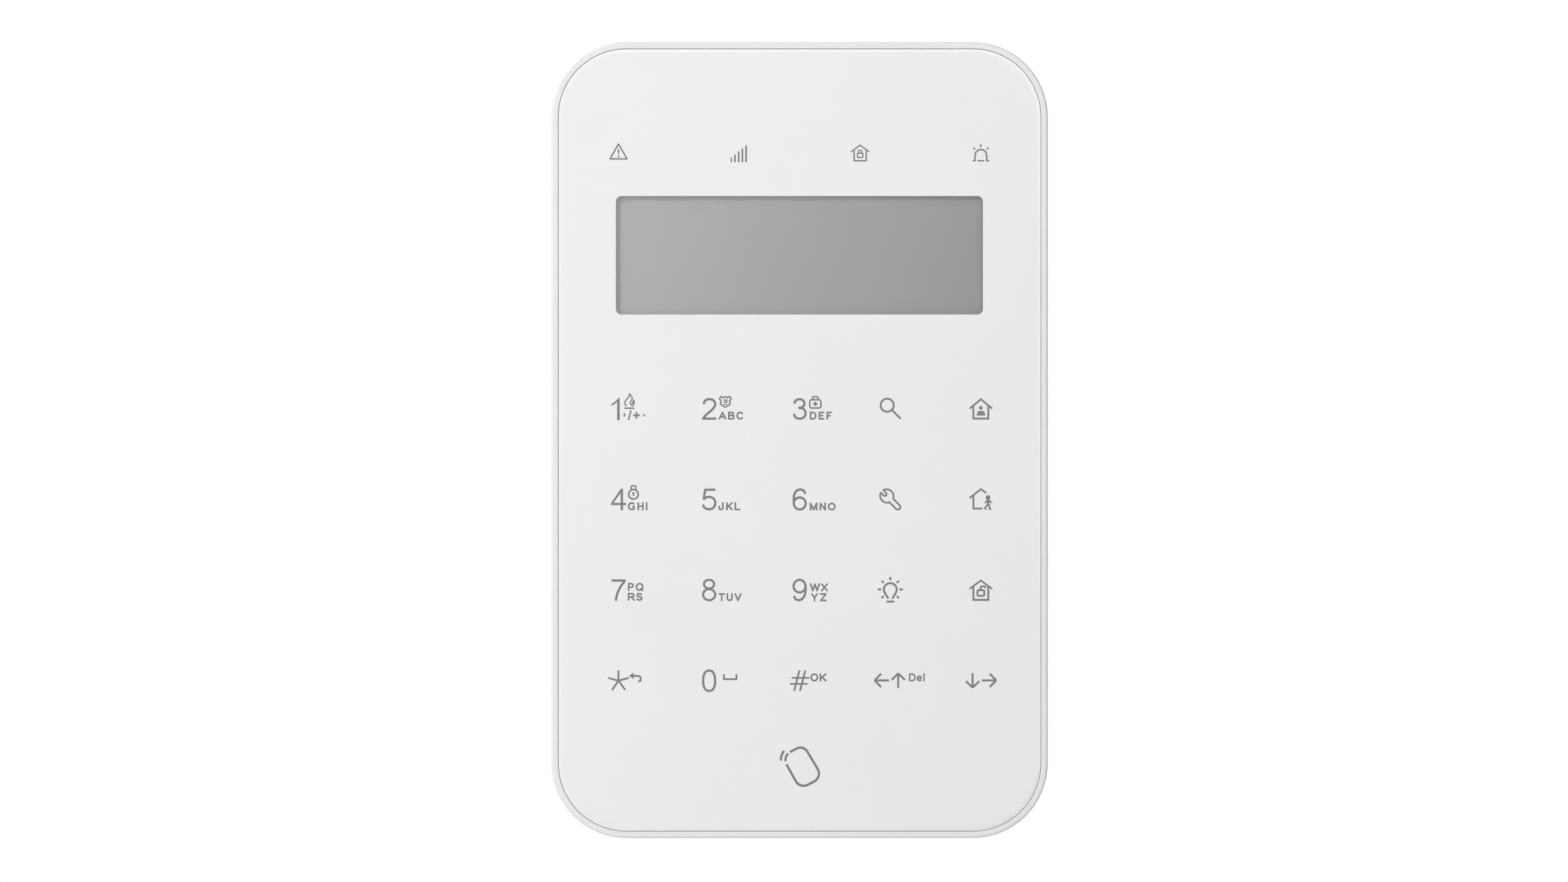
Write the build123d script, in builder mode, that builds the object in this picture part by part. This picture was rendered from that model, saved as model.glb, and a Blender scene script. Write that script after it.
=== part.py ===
"""Wall-mounted alarm keypad: a flush touch panel with a display window, its case, boards, cells and wall plate.

The row frame has +X to the right, +Z up and the face towards -Y.  The wall is the plane Y = 0, and the
origin is the middle of the wall plate's four screw holes, on the wall.  Heights named here are distances
from the wall towards the face, so a sketch at height h lies on Plane.XZ.offset(h).
"""

import os
from math import atan2, degrees

from build123d import *

os.makedirs("parts", exist_ok=True)

# ------------------------------------------------------------------ driving sizes, millimetres
case_width = 104.0
case_height = 166.8
case_depth = 23.4
corner_radius = 15.7
key_pitch = 19.0

rim_width = 1.4  # flat ring of the front frame, round the face panel
panel_gap = 0.1
panel_thick = 1.8
panel_proud = 0.12  # how far the face stands in front of the rim
edge_bevel = 0.6  # width of the face's outer bevel
inner_bevel = 0.4  # width of the shallower bevel inside it
edge_break = 0.12

window_width = 76.9
window_height = 24.8
window_radius = 1.2
window_z = 38.7

# ------------------------------------------------------------------ heights from the wall
plate_thick = 2.0
face_high = case_depth
panel_low = face_high - panel_thick
rim_high = face_high - panel_proud
ledge_high = panel_low - 0.2  # the adhesive ring fills the difference
ledge_low = ledge_high - 1.2
film_low = ledge_high
diffuser_low = ledge_high - 0.2
board_front = 19.6
board_back = 18.6
parting = 12.0
back_inner = 7.8
back_outer = 6.0
skirt_low = 0.6
skirt_top_low = 2.2  # the skirt's top side ends further from the wall, so that the case can tilt

# ------------------------------------------------------------------ case outlines
wall_thick = 1.8
taper = 5.0
plinth_width = case_width - 2 * taper
plinth_height = case_height - 2 * taper
plinth_radius = corner_radius - taper
recess_width = plinth_width - 2 * wall_thick
recess_height = plinth_height - 2 * wall_thick
recess_radius = plinth_radius - wall_thick
frame_wall = 2.0
parting_groove = 0.25
lip_thick = 1.0
lip_high = 1.5

panel_width = case_width - 2 * (rim_width + panel_gap)
panel_height = case_height - 2 * (rim_width + panel_gap)
panel_radius = corner_radius - rim_width - panel_gap
ledge_width = panel_width - 6.0
ledge_height = panel_height - 6.0
ledge_radius = panel_radius - 3.0

# ------------------------------------------------------------------ hinge between the wall plate and the case
pivot_z = 74.5
pivot_h = 3.4
rod_radius = 1.1
clip_bore = 1.2
clip_radius = 2.4
knuckle_radius = 1.8
clip_x = 26.0
clip_width = 12.0
notch_width = 14.0
ear_width = 2.0

# ------------------------------------------------------------------ wall plate
plate_width = recess_width - 1.4
plate_bottom = -recess_height / 2 + 0.7
plate_top = pivot_z + 0.5
plate_height = plate_top - plate_bottom
plate_mid = (plate_top + plate_bottom) / 2
plate_radius = recess_radius - 0.7
plate_rib = 1.4
plate_rib_high = 4.0
wall_hole_x = 39.0
wall_hole_z = 56.0
wall_hole_radius = 2.2
box_hole_x = 30.0  # half of the 60 mm pitch of a flush wall box
box_hole_z = 46.0
box_hole_radius = 1.9
cable_width = 34.0
cable_height = 24.0

# ------------------------------------------------------------------ locking screw, backed off as drawn
screw_h = 3.3
lock_travel = 3.2
lock_shank = 1.5
lock_length = 8.5
lock_head = 2.6
lock_head_thick = 2.0
lock_seat_z = -plinth_height / 2 + 1.2
tab_low = -71.7
tab_high = -68.7
lock_boss_top = -72.5

# ------------------------------------------------------------------ cells and their bay
cell_radius = 7.25
cell_length = 50.5
cell_pitch = 15.4
cell_h = plate_thick + 0.4 + cell_radius
bay_z = -33.0
bay_inner_width = 4 * cell_pitch + 0.4
bay_inner_height = 57.4
bay_wall = 1.2
bay_floor_low = 17.2
bay_floor_high = 18.2
bay_rim = 3.2

# ------------------------------------------------------------------ small moving pieces on the board
tamper_x, tamper_z = 39.5, -40.0
tamper_radius = 1.6
tamper_tip = 0.05
reset_x, reset_z = -39.5, -44.0
power_x, power_z = -39.5, -20.0
power_travel = 2.0
sounder_x, sounder_z = -18.0, 9.0

# ------------------------------------------------------------------ display stack
glass_low = 18.4
glass_high = 20.4
bezel_low = 15.9
bezel_high = 20.75
lens_flange_low = 20.8
lens_front = 22.5
display_width = 80.0
display_height = 27.6
bezel_width = 83.0
bezel_height = 30.6


def at(height):
    """The sketch plane at that height from the wall, looking out along -Y, with local x = X and local y = Z."""
    return Plane.XZ.offset(height)


def save(piece, name):
    """Labels a finished piece and writes it as its own STEP file."""
    piece.part.label = name
    export_step(piece.part, f"parts/{name}.step")
    return piece


key_columns = [column * key_pitch for column in (-2, -1, 0, 1, 2)]
key_rows = [6.5 - row * key_pitch for row in range(4)]
key_places = [(x, z) for z in key_rows for x in key_columns]
lamp_z = 60.2
lamp_places = [(x, lamp_z) for x in (-38.0, -38.0 / 3, 38.0 / 3, 38.0)]
card_z = -68.5
case_screws = [(x, z) for z in (70.0, 0.0, -70.0) for x in (-42.0, 42.0)]
board_posts = [(x, z) for z in (62.0, -66.0) for x in (-33.0, 33.0)]

# ================================================================== wall plate
with BuildPart() as wall_plate:
    with BuildSketch(at(0)):
        with Locations((0, plate_mid)):
            RectangleRounded(plate_width, plate_height, plate_radius)
    extrude(amount=plate_thick)
    # stiffening rib round the edge
    with BuildSketch(at(plate_thick)):
        with Locations((0, plate_mid)):
            RectangleRounded(plate_width, plate_height, plate_radius)
            RectangleRounded(
                plate_width - 2 * plate_rib,
                plate_height - 2 * plate_rib,
                plate_radius - plate_rib,
                mode=Mode.SUBTRACT,
            )
    extrude(amount=plate_rib_high - plate_thick)
    # short ribs round the cable opening, with a way left between them for the lead
    with BuildSketch(at(plate_thick)):
        with GridLocations(38.0, 32.0, 2, 2) as rib_places:
            pass
        with Locations(*[(place.position.X, place.position.Y + box_hole_z) for place in rib_places]):
            Rectangle(18, 1.4)
        with Locations((-14, -70), (14, -70)):
            Rectangle(1.4, 8)
    extrude(amount=1.6)
    # notches that the case's hinge clips turn in
    notch_depth = 3.5
    with BuildSketch(at(0)):
        for side in (-1, 1):
            with Locations((side * clip_x, plate_top - notch_depth / 2)):
                Rectangle(notch_width, notch_depth + 0.01)
    extrude(amount=plate_rib_high, mode=Mode.SUBTRACT)
    # round knuckles beside each notch, and the rod between them
    for side in (-1, 1):
        for edge in (-1, 1):
            middle = side * clip_x + edge * (notch_width + ear_width) / 2
            with BuildSketch(Plane.YZ.offset(middle - ear_width / 2)):
                with Locations((-pivot_h, pivot_z)):
                    Circle(knuckle_radius)
                with Locations((-pivot_h / 2, pivot_z - 1.5)):
                    Rectangle(pivot_h, 3.0)
            extrude(amount=ear_width)
        with BuildSketch(Plane.YZ.offset(side * clip_x - notch_width / 2)):
            with Locations((-pivot_h, pivot_z)):
                Circle(rod_radius)
        extrude(amount=notch_width)
    # notch for the case's screw boss, and the tab that the locking screw enters
    with BuildSketch(at(0)):
        with Locations((0, (plate_bottom + tab_low) / 2)):
            Rectangle(13.0, tab_low - plate_bottom + 0.01)
    extrude(amount=plate_rib_high, mode=Mode.SUBTRACT)
    with BuildSketch(at(0)):
        with Locations((0, (tab_low + tab_high) / 2)):
            Rectangle(12.0, tab_high - tab_low)
    extrude(amount=screw_h + 2.5)
    insert_radius = 2.1
    with BuildSketch(Plane.XY.offset(tab_low)):
        with Locations((0, -screw_h)):
            Circle(insert_radius)
    extrude(amount=tab_high - tab_low, mode=Mode.SUBTRACT)
    # wall screw holes, flush-box holes, cable opening and the hole for the tamper plunger
    with BuildSketch(at(0)):
        with GridLocations(2 * wall_hole_x, 2 * wall_hole_z, 2, 2):
            Circle(wall_hole_radius)
        with Locations((-box_hole_x, box_hole_z), (box_hole_x, box_hole_z)):
            Circle(box_hole_radius)
        with Locations((0, box_hole_z)):
            RectangleRounded(cable_width, cable_height, 3.0)
        with Locations((tamper_x, tamper_z)):
            Circle(3.0)
    extrude(amount=plate_thick, mode=Mode.SUBTRACT)
save(wall_plate, "wall_plate")

with BuildPart() as lock_insert:
    with BuildSketch(Plane.XY.offset(tab_low)):
        with Locations((0, -screw_h)):
            Circle(insert_radius)
            Circle(lock_shank + 0.05, mode=Mode.SUBTRACT)
    extrude(amount=tab_high - tab_low)
save(lock_insert, "lock_insert")

# ================================================================== case
with BuildPart() as front_frame:
    with BuildSketch(at(parting)):
        RectangleRounded(case_width, case_height, corner_radius)
    extrude(amount=rim_high - parting)
    fillet(front_frame.faces().sort_by(Axis.Y)[0].edges(), 0.5)
    chamfer(front_frame.faces().sort_by(Axis.Y)[-1].edges(), parting_groove)
    # seat for the face panel, with a through opening below it
    with BuildSketch(at(ledge_high)):
        RectangleRounded(
            case_width - 2 * rim_width,
            case_height - 2 * rim_width,
            corner_radius - rim_width,
        )
    extrude(amount=rim_high - ledge_high, mode=Mode.SUBTRACT)
    chamfer(front_frame.faces().sort_by(Axis.Y)[0].inner_wires()[0].edges(), edge_break)
    with BuildSketch(at(ledge_low)):
        RectangleRounded(ledge_width, ledge_height, ledge_radius)
    extrude(amount=ledge_high - ledge_low, mode=Mode.SUBTRACT)
    with BuildSketch(at(parting)):
        RectangleRounded(
            case_width - 2 * frame_wall,
            case_height - 2 * frame_wall,
            corner_radius - frame_wall,
        )
    extrude(amount=ledge_low - parting, mode=Mode.SUBTRACT)
    # screw bosses, each on a web that runs out to the side wall
    boss_low, boss_high, boss_radius = 9.5, 18.4, 2.6
    for x, z in case_screws:
        side = 1 if x > 0 else -1
        wall_x = case_width / 2 - frame_wall / 2
        with BuildSketch(at(parting)):
            with Locations(((x + side * wall_x) / 2, z)):
                Rectangle(wall_x - abs(x), 2.0)
        extrude(amount=boss_high - parting)
        with BuildSketch(at(boss_low)):
            with Locations((x, z)):
                Circle(boss_radius)
        extrude(amount=boss_high - boss_low)
    with BuildSketch(at(boss_low)):
        with Locations(*case_screws):
            Circle(1.1)
    extrude(amount=8.0, mode=Mode.SUBTRACT)
save(front_frame, "front_frame")

with BuildPart() as cavity:
    cavity_radius = corner_radius - wall_thick
    with BuildSketch(at(back_inner)):
        RectangleRounded(
            case_width - 2 * wall_thick, case_height - 2 * wall_thick, cavity_radius
        )
    extrude(amount=taper + 1.0)
    chamfer(cavity.faces().sort_by(Axis.Y)[-1].edges(), taper)

with BuildPart() as rear_case:
    with BuildSketch(at(back_outer)):
        RectangleRounded(case_width, case_height, corner_radius)
    extrude(amount=parting - back_outer)
    chamfer(rear_case.faces().sort_by(Axis.Y)[-1].edges(), taper)
    chamfer(rear_case.faces().sort_by(Axis.Y)[0].edges(), parting_groove)
    with BuildSketch(at(skirt_low)):
        RectangleRounded(plinth_width, plinth_height, plinth_radius)
    extrude(amount=back_outer - skirt_low)
    # lip that stands inside the front frame's wall, notched for the frame's webs
    lip_inset = 2 * (frame_wall + 0.1)
    with BuildSketch(at(parting - 1.0)):
        RectangleRounded(
            case_width - lip_inset, case_height - lip_inset, corner_radius - lip_inset / 2
        )
    extrude(amount=1.0 + lip_high)
    with BuildSketch(at(parting)):
        RectangleRounded(
            case_width - lip_inset - 2 * lip_thick,
            case_height - lip_inset - 2 * lip_thick,
            corner_radius - lip_inset / 2 - lip_thick,
        )
        with Locations(*case_screws):
            Rectangle(20.0, 2.6)
    extrude(amount=lip_high, mode=Mode.SUBTRACT)
    add(cavity.part, mode=Mode.SUBTRACT)
    # recess that the wall plate fills
    with BuildSketch(at(skirt_low)):
        RectangleRounded(recess_width, recess_height, recess_radius)
    extrude(amount=back_outer - skirt_low, mode=Mode.SUBTRACT)
    # the skirt is cut back along the top, to clear the wall when the case tilts
    with BuildSketch(at(skirt_low)):
        with Locations((0, plinth_height / 2)):
            Rectangle(plinth_width, 2 * plinth_radius)
    extrude(amount=skirt_top_low - skirt_low, mode=Mode.SUBTRACT)
    # battery bay, sunk from the back towards the board
    with BuildSketch(at(bay_rim)):
        with Locations((0, bay_z)):
            RectangleRounded(
                bay_inner_width + 2 * bay_wall, bay_inner_height + 2 * bay_wall, 2.0
            )
    extrude(amount=bay_floor_high - bay_rim)
    with BuildSketch(at(bay_rim)):
        with Locations((0, bay_z)):
            RectangleRounded(bay_inner_width, bay_inner_height, 0.8)
    extrude(amount=bay_floor_low - bay_rim, mode=Mode.SUBTRACT)
    with BuildSketch(at(bay_floor_low)):
        for gap in (-1, 0, 1):
            with Locations((gap * cell_pitch, bay_z)):
                Rectangle(0.8, bay_inner_height - 4.0)
    extrude(amount=-4.2)
    # finger scoop through the bay's lower rim
    with BuildSketch(at(bay_rim)):
        with Locations((0, bay_z - bay_inner_height / 2)):
            Rectangle(2 * cell_pitch, 4.0)
    extrude(amount=back_outer - bay_rim, mode=Mode.SUBTRACT)
    # screw pads with counterbored holes
    pad_high = 9.4
    screw_seat = 7.8
    with BuildSketch(at(back_outer)):
        with Locations(*case_screws):
            Circle(3.4)
    extrude(amount=pad_high - back_outer)
    with BuildSketch(at(back_outer)):
        with Locations(*case_screws):
            Circle(1.4)
    extrude(amount=pad_high - back_outer, mode=Mode.SUBTRACT)
    with BuildSketch(at(back_outer)):
        with Locations(*case_screws):
            Circle(2.6)
    extrude(amount=screw_seat - back_outer, mode=Mode.SUBTRACT)
    # posts that press the board forward
    with BuildSketch(at(back_inner)):
        with Locations(*board_posts):
            Circle(1.9)
    extrude(amount=board_back - back_inner)
    # hinge clips: C-shaped, open towards the wall and down, so that the case hooks over the rods
    for side in (-1, 1):
        with BuildSketch(Plane.YZ.offset(side * clip_x - clip_width / 2)):
            with Locations((-pivot_h, pivot_z)):
                Circle(clip_radius)
            with BuildLine():
                Polyline(
                    (-pivot_h, pivot_z - 1.0),
                    (-pivot_h, recess_height / 2 + 0.2),
                    (-back_outer - 0.2, recess_height / 2 + 0.2),
                    (-back_outer - 0.2, pivot_z - 1.0),
                    close=True,
                )
            make_face()
            with Locations((-pivot_h, pivot_z)):
                Circle(clip_bore, mode=Mode.SUBTRACT)
            with BuildLine():
                Polyline(
                    (-pivot_h, pivot_z),
                    (-pivot_h + 4.0, pivot_z + 0.7),
                    (-pivot_h + 4.0, pivot_z - 4.0),
                    (-pivot_h - 0.7, pivot_z - 4.0),
                    close=True,
                )
            make_face(mode=Mode.SUBTRACT)
        extrude(amount=clip_width)
    # boss for the locking screw in the skirt's lower side
    with BuildSketch(Plane.XY.offset(-plinth_height / 2)):
        with Locations((0, -(skirt_low + back_outer + 0.5) / 2)):
            Rectangle(10.0, back_outer + 0.5 - skirt_low)
    extrude(amount=lock_boss_top + plinth_height / 2)
    with BuildSketch(Plane.XY.offset(-plinth_height / 2)):
        with Locations((0, -screw_h)):
            Circle(lock_shank + 0.15)
    extrude(amount=lock_boss_top + plinth_height / 2, mode=Mode.SUBTRACT)
    with BuildSketch(Plane.XY.offset(-plinth_height / 2)):
        with Locations((0, -screw_h)):
            Circle(lock_head + 0.15)
    extrude(amount=lock_seat_z + plinth_height / 2, mode=Mode.SUBTRACT)
    # guide sleeves for the tamper plunger and the reset button
    sleeve_high = 12.9
    with BuildSketch(at(back_inner)):
        with Locations((tamper_x, tamper_z), (reset_x, reset_z)):
            Circle(2.8)
    extrude(amount=sleeve_high - back_inner)
    with BuildSketch(at(back_outer)):
        with Locations((tamper_x, tamper_z), (reset_x, reset_z)):
            Circle(tamper_radius + 0.1)
    extrude(amount=sleeve_high - back_outer, mode=Mode.SUBTRACT)
    # well for the power switch, with a slot in its floor for the knob
    well_floor = 12.4
    with BuildSketch(at(back_outer)):
        with Locations((power_x, power_z)):
            RectangleRounded(11.0, 9.0, 1.6)
    extrude(amount=well_floor + 1.0 - back_outer)
    with BuildSketch(at(back_outer)):
        with Locations((power_x, power_z)):
            RectangleRounded(9.0, 7.0, 0.8)
    extrude(amount=well_floor - back_outer, mode=Mode.SUBTRACT)
    with BuildSketch(at(well_floor)):
        with Locations((power_x, power_z)):
            Rectangle(5.4, 2.6)
    extrude(amount=1.0, mode=Mode.SUBTRACT)
    # window for the supply terminal
    with BuildSketch(at(back_outer)):
        with Locations((0, 66.0)):
            RectangleRounded(13.0, 9.6, 1.0)
    extrude(amount=back_inner - back_outer, mode=Mode.SUBTRACT)
    # sound slots behind the sounder
    with BuildSketch(at(back_outer)):
        with Locations((sounder_x, sounder_z)):
            with GridLocations(0, 2.6, 1, 5):
                SlotOverall(11.0, 1.2)
    extrude(amount=back_inner - back_outer, mode=Mode.SUBTRACT)
save(rear_case, "rear_case")

with BuildPart() as case_screw_set:
    with BuildSketch(at(screw_seat)):
        with Locations(*case_screws):
            Circle(1.1)
    extrude(amount=9.0)
    with BuildSketch(at(screw_seat)):
        with Locations(*case_screws):
            Circle(2.3)
    extrude(amount=-1.6)
    fillet(
        case_screw_set.faces().sort_by(Axis.Y)[-len(case_screws) :].edges(),
        0.5,
    )
    with BuildSketch(at(screw_seat - 1.6)):
        with Locations(*case_screws):
            Rectangle(2.6, 0.6)
            Rectangle(0.6, 2.6)
    extrude(amount=0.9, mode=Mode.SUBTRACT)
save(case_screw_set, "case_screws")

# ================================================================== face
inner_rise = 0.02
edge_rise = panel_proud - inner_rise
with BuildPart() as front_panel:
    with BuildSketch(at(panel_low)):
        RectangleRounded(panel_width, panel_height, panel_radius)
    extrude(amount=panel_thick - panel_proud)
    # two shallow bevels carry the edge up to the face
    with BuildSketch(at(face_high - panel_proud)):
        RectangleRounded(panel_width, panel_height, panel_radius)
    extrude(amount=edge_rise, taper=degrees(atan2(edge_bevel, edge_rise)))
    with BuildSketch(at(face_high - inner_rise)):
        RectangleRounded(
            panel_width - 2 * edge_bevel,
            panel_height - 2 * edge_bevel,
            panel_radius - edge_bevel,
        )
    extrude(amount=inner_rise, taper=degrees(atan2(inner_bevel, inner_rise)))
    with BuildSketch(at(panel_low)):
        with Locations((0, window_z)):
            RectangleRounded(window_width, window_height, window_radius)
    extrude(amount=panel_thick, mode=Mode.SUBTRACT)
    chamfer(front_panel.faces().sort_by(Axis.Y)[0].inner_wires()[0].edges(), edge_break)
save(front_panel, "front_panel")

with BuildPart() as panel_adhesive:
    with BuildSketch(at(ledge_high)):
        RectangleRounded(panel_width - 0.6, panel_height - 0.6, panel_radius - 0.3)
        RectangleRounded(
            ledge_width + 0.6, ledge_height + 0.6, ledge_radius + 0.3, mode=Mode.SUBTRACT
        )
    extrude(amount=panel_low - ledge_high)
save(panel_adhesive, "panel_adhesive")

with BuildPart() as display_lens:
    with BuildSketch(at(lens_flange_low)):
        with Locations((0, window_z)):
            RectangleRounded(display_width, display_height, 2.0)
    extrude(amount=panel_low - lens_flange_low)
    with BuildSketch(at(panel_low)):
        with Locations((0, window_z)):
            RectangleRounded(window_width - 0.2, window_height - 0.2, window_radius - 0.1)
    extrude(amount=lens_front - panel_low)
save(display_lens, "display_lens")

opening_width = display_width + 1.0
opening_height = display_height + 1.0
sheet_width = ledge_width - 0.4
sheet_height = ledge_height - 0.4
sheet_radius = ledge_radius - 0.2

with BuildPart() as touch_film:
    with BuildSketch(at(film_low)):
        RectangleRounded(sheet_width, sheet_height, sheet_radius)
        with Locations((0, window_z)):
            Rectangle(opening_width, opening_height, mode=Mode.SUBTRACT)
    extrude(amount=panel_low - film_low)
save(touch_film, "touch_film")

with BuildPart() as diffuser_sheet:
    with BuildSketch(at(diffuser_low)):
        RectangleRounded(sheet_width, sheet_height, sheet_radius)
        with Locations((0, window_z)):
            Rectangle(opening_width, opening_height, mode=Mode.SUBTRACT)
    extrude(amount=film_low - diffuser_low)
save(diffuser_sheet, "diffuser_sheet")

with BuildPart() as light_baffle:
    with BuildSketch(at(board_front)):
        RectangleRounded(sheet_width, sheet_height, sheet_radius)
        with Locations((0, window_z)):
            Rectangle(bezel_width + 1.0, bezel_height + 1.0, mode=Mode.SUBTRACT)
        with Locations(*key_places):
            RectangleRounded(13.0, 9.0, 1.5, mode=Mode.SUBTRACT)
        with Locations(*lamp_places):
            RectangleRounded(7.0, 7.0, 1.5, mode=Mode.SUBTRACT)
        with Locations((0, card_z)):
            RectangleRounded(12.0, 11.0, 2.0, mode=Mode.SUBTRACT)
    extrude(amount=diffuser_low - board_front)
save(light_baffle, "light_baffle")

# ================================================================== main board
board_width = 96.0
board_height = 158.8
with BuildPart() as main_board:
    with BuildSketch(at(board_back)):
        RectangleRounded(board_width, board_height, 11.0)
        with Locations((0, window_z)):
            Rectangle(bezel_width + 1.0, bezel_height + 1.0, mode=Mode.SUBTRACT)
    extrude(amount=board_front - board_back)
save(main_board, "main_board")

led_width, led_height, led_thick = 1.6, 0.8, 0.6
with BuildPart() as key_leds:
    with BuildSketch(at(board_front)):
        with Locations(*key_places):
            Rectangle(led_width, led_height)
    extrude(amount=led_thick)
save(key_leds, "key_leds")

with BuildPart() as status_leds:
    with BuildSketch(at(board_front)):
        with Locations(*lamp_places):
            Rectangle(led_width, led_height)
    extrude(amount=led_thick)
save(status_leds, "status_leds")

with BuildPart() as card_led:
    with BuildSketch(at(board_front)):
        with Locations((0, card_z)):
            Rectangle(led_width, led_height)
    extrude(amount=led_thick)
save(card_led, "card_led")

with BuildPart() as processor_chip:
    with BuildSketch(at(board_back)):
        with Locations((14.0, 8.0)):
            Rectangle(10.0, 10.0)
    extrude(amount=-1.1)
    chamfer(processor_chip.faces().sort_by(Axis.Y)[-1].edges(), 0.2)
save(processor_chip, "processor_chip")

with BuildPart() as radio_shield:
    with BuildSketch(at(board_back)):
        with Locations((32.0, 8.0)):
            RectangleRounded(16.0, 13.0, 0.8)
    extrude(amount=-2.4)
    fillet(radio_shield.faces().sort_by(Axis.Y)[-1].edges(), 0.3)
save(radio_shield, "radio_shield")

antenna_radius, antenna_wire, antenna_turns, antenna_pitch = 2.3, 0.4, 7, 2.4
antenna_h = board_back - antenna_radius - antenna_wire
with BuildPart() as radio_antenna:
    with BuildLine() as antenna_path:
        Helix(
            pitch=antenna_pitch,
            height=antenna_turns * antenna_pitch,
            radius=antenna_radius,
            center=(16.0, -antenna_h, 72.0),
            direction=(1, 0, 0),
        )
    start = antenna_path.line @ 0
    with BuildSketch(Plane(origin=start, z_dir=antenna_path.line % 0)):
        Circle(antenna_wire)
    sweep(is_frenet=True)
save(radio_antenna, "radio_antenna")

with BuildPart() as sounder:
    with BuildSketch(at(board_back)):
        with Locations((sounder_x, sounder_z)):
            Circle(6.0)
    extrude(amount=-5.4)
    fillet(sounder.faces().sort_by(Axis.Y)[-1].edges(), 0.5)
    with BuildSketch(at(board_back - 5.4)):
        with Locations((sounder_x, sounder_z)):
            Circle(1.0)
    extrude(amount=1.0, mode=Mode.SUBTRACT)
save(sounder, "sounder")

capacitor_places = [(-38.0, 10.0), (-30.0, 6.0), (0.0, 4.0)]
with BuildPart() as capacitors:
    with BuildSketch(at(board_back)):
        with Locations(*capacitor_places):
            Circle(2.5)
    extrude(amount=-5.4)
    fillet(capacitors.faces().sort_by(Axis.Y)[-len(capacitor_places) :].edges(), 0.4)
save(capacitors, "capacitors")

# card reader coil: a flat spiral drawn as nested turns, with its ferrite sheet on the wall side
coil_width, coil_height, coil_track, coil_gap = 58.0, 12.0, 0.6, 0.5
coil_thick = 0.1
with BuildPart() as card_coil:
    with BuildSketch(at(board_back)):
        for turn in range(4):
            shrink = 2 * turn * (coil_track + coil_gap)
            with Locations((0, card_z - 1.5)):
                RectangleRounded(coil_width - shrink, coil_height - shrink, 2.2)
                RectangleRounded(
                    coil_width - shrink - 2 * coil_track,
                    coil_height - shrink - 2 * coil_track,
                    1.6,
                    mode=Mode.SUBTRACT,
                )
    extrude(amount=-coil_thick)
save(card_coil, "card_coil")

with BuildPart() as ferrite_sheet:
    with BuildSketch(at(board_back - coil_thick)):
        with Locations((0, card_z - 1.5)):
            RectangleRounded(coil_width + 2.0, coil_height + 1.0, 2.0)
    extrude(amount=-0.3)
save(ferrite_sheet, "ferrite_sheet")

# ================================================================== display
with BuildPart() as display_glass:
    with BuildSketch(at(glass_low)):
        with Locations((0, window_z)):
            Rectangle(display_width, display_height)
    extrude(amount=glass_high - glass_low)
save(display_glass, "display_glass")

with BuildPart() as display_backlight:
    with BuildSketch(at(bezel_low)):
        with Locations((0, window_z)):
            RectangleRounded(display_width, display_height, 0.6)
    extrude(amount=glass_low - bezel_low)
save(display_backlight, "display_backlight")

with BuildPart() as display_bezel:
    with BuildSketch(at(bezel_low)):
        with Locations((0, window_z)):
            RectangleRounded(bezel_width, bezel_height, 1.0)
    extrude(amount=bezel_high - bezel_low)
    with BuildSketch(at(bezel_low)):
        with Locations((0, window_z)):
            Rectangle(display_width + 0.1, display_height + 0.1)
    extrude(amount=glass_high - bezel_low, mode=Mode.SUBTRACT)
    with BuildSketch(at(glass_high)):
        with Locations((0, window_z)):
            RectangleRounded(window_width + 0.6, window_height + 0.6, 0.8)
    extrude(amount=bezel_high - glass_high, mode=Mode.SUBTRACT)
save(display_bezel, "display_bezel")

# flat cable from the display's lower side, round to its connector on the back of the board
ribbon_width, ribbon_thick = 24.0, 0.2
connector_top = 20.6
with BuildPart() as display_ribbon:
    ribbon_out = bezel_low - ribbon_thick / 2
    ribbon_in = board_back - 1.2
    with BuildSketch(Plane.YZ.offset(-ribbon_width / 2)):
        with BuildLine():
            FilletPolyline(
                (-ribbon_out, window_z - 8.0),
                (-ribbon_out, window_z - bezel_height / 2 - 0.4),
                (-ribbon_in, connector_top + 0.8),
                (-ribbon_in, connector_top + ribbon_thick / 2),
                radius=0.3,
            )
            offset(amount=ribbon_thick / 2)
        make_face()
    extrude(amount=ribbon_width)
save(display_ribbon, "display_ribbon")

with BuildPart() as ribbon_connector:
    with BuildSketch(at(board_back)):
        with Locations((0, connector_top - 2.0)):
            Rectangle(ribbon_width + 4.0, 4.0)
    extrude(amount=-2.0)
save(ribbon_connector, "ribbon_connector")

# ================================================================== switches
pocket_radius = 3.1
tamper_body_low = 13.2
with BuildPart() as tamper_switch:
    with BuildSketch(at(tamper_body_low)):
        with Locations((tamper_x, tamper_z)):
            RectangleRounded(8.4, 8.4, 1.0)
            Circle(pocket_radius, mode=Mode.SUBTRACT)
    extrude(amount=board_back - tamper_body_low)
    with BuildSketch(at(board_back - 1.0)):
        with Locations((tamper_x, tamper_z)):
            RectangleRounded(8.4, 8.4, 1.0)
    extrude(amount=1.0)
save(tamper_switch, "tamper_switch")

flange_low, flange_high = 14.6, 15.6
with BuildPart() as tamper_plunger:
    with BuildSketch(at(tamper_tip)):
        with Locations((tamper_x, tamper_z)):
            Circle(tamper_radius)
    extrude(amount=flange_low - tamper_tip)
    fillet(tamper_plunger.faces().sort_by(Axis.Y)[-1].edges(), 0.6)
    with BuildSketch(at(flange_low)):
        with Locations((tamper_x, tamper_z)):
            Circle(pocket_radius - 0.15)
    extrude(amount=flange_high - flange_low)
save(tamper_plunger, "tamper_plunger")

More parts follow.
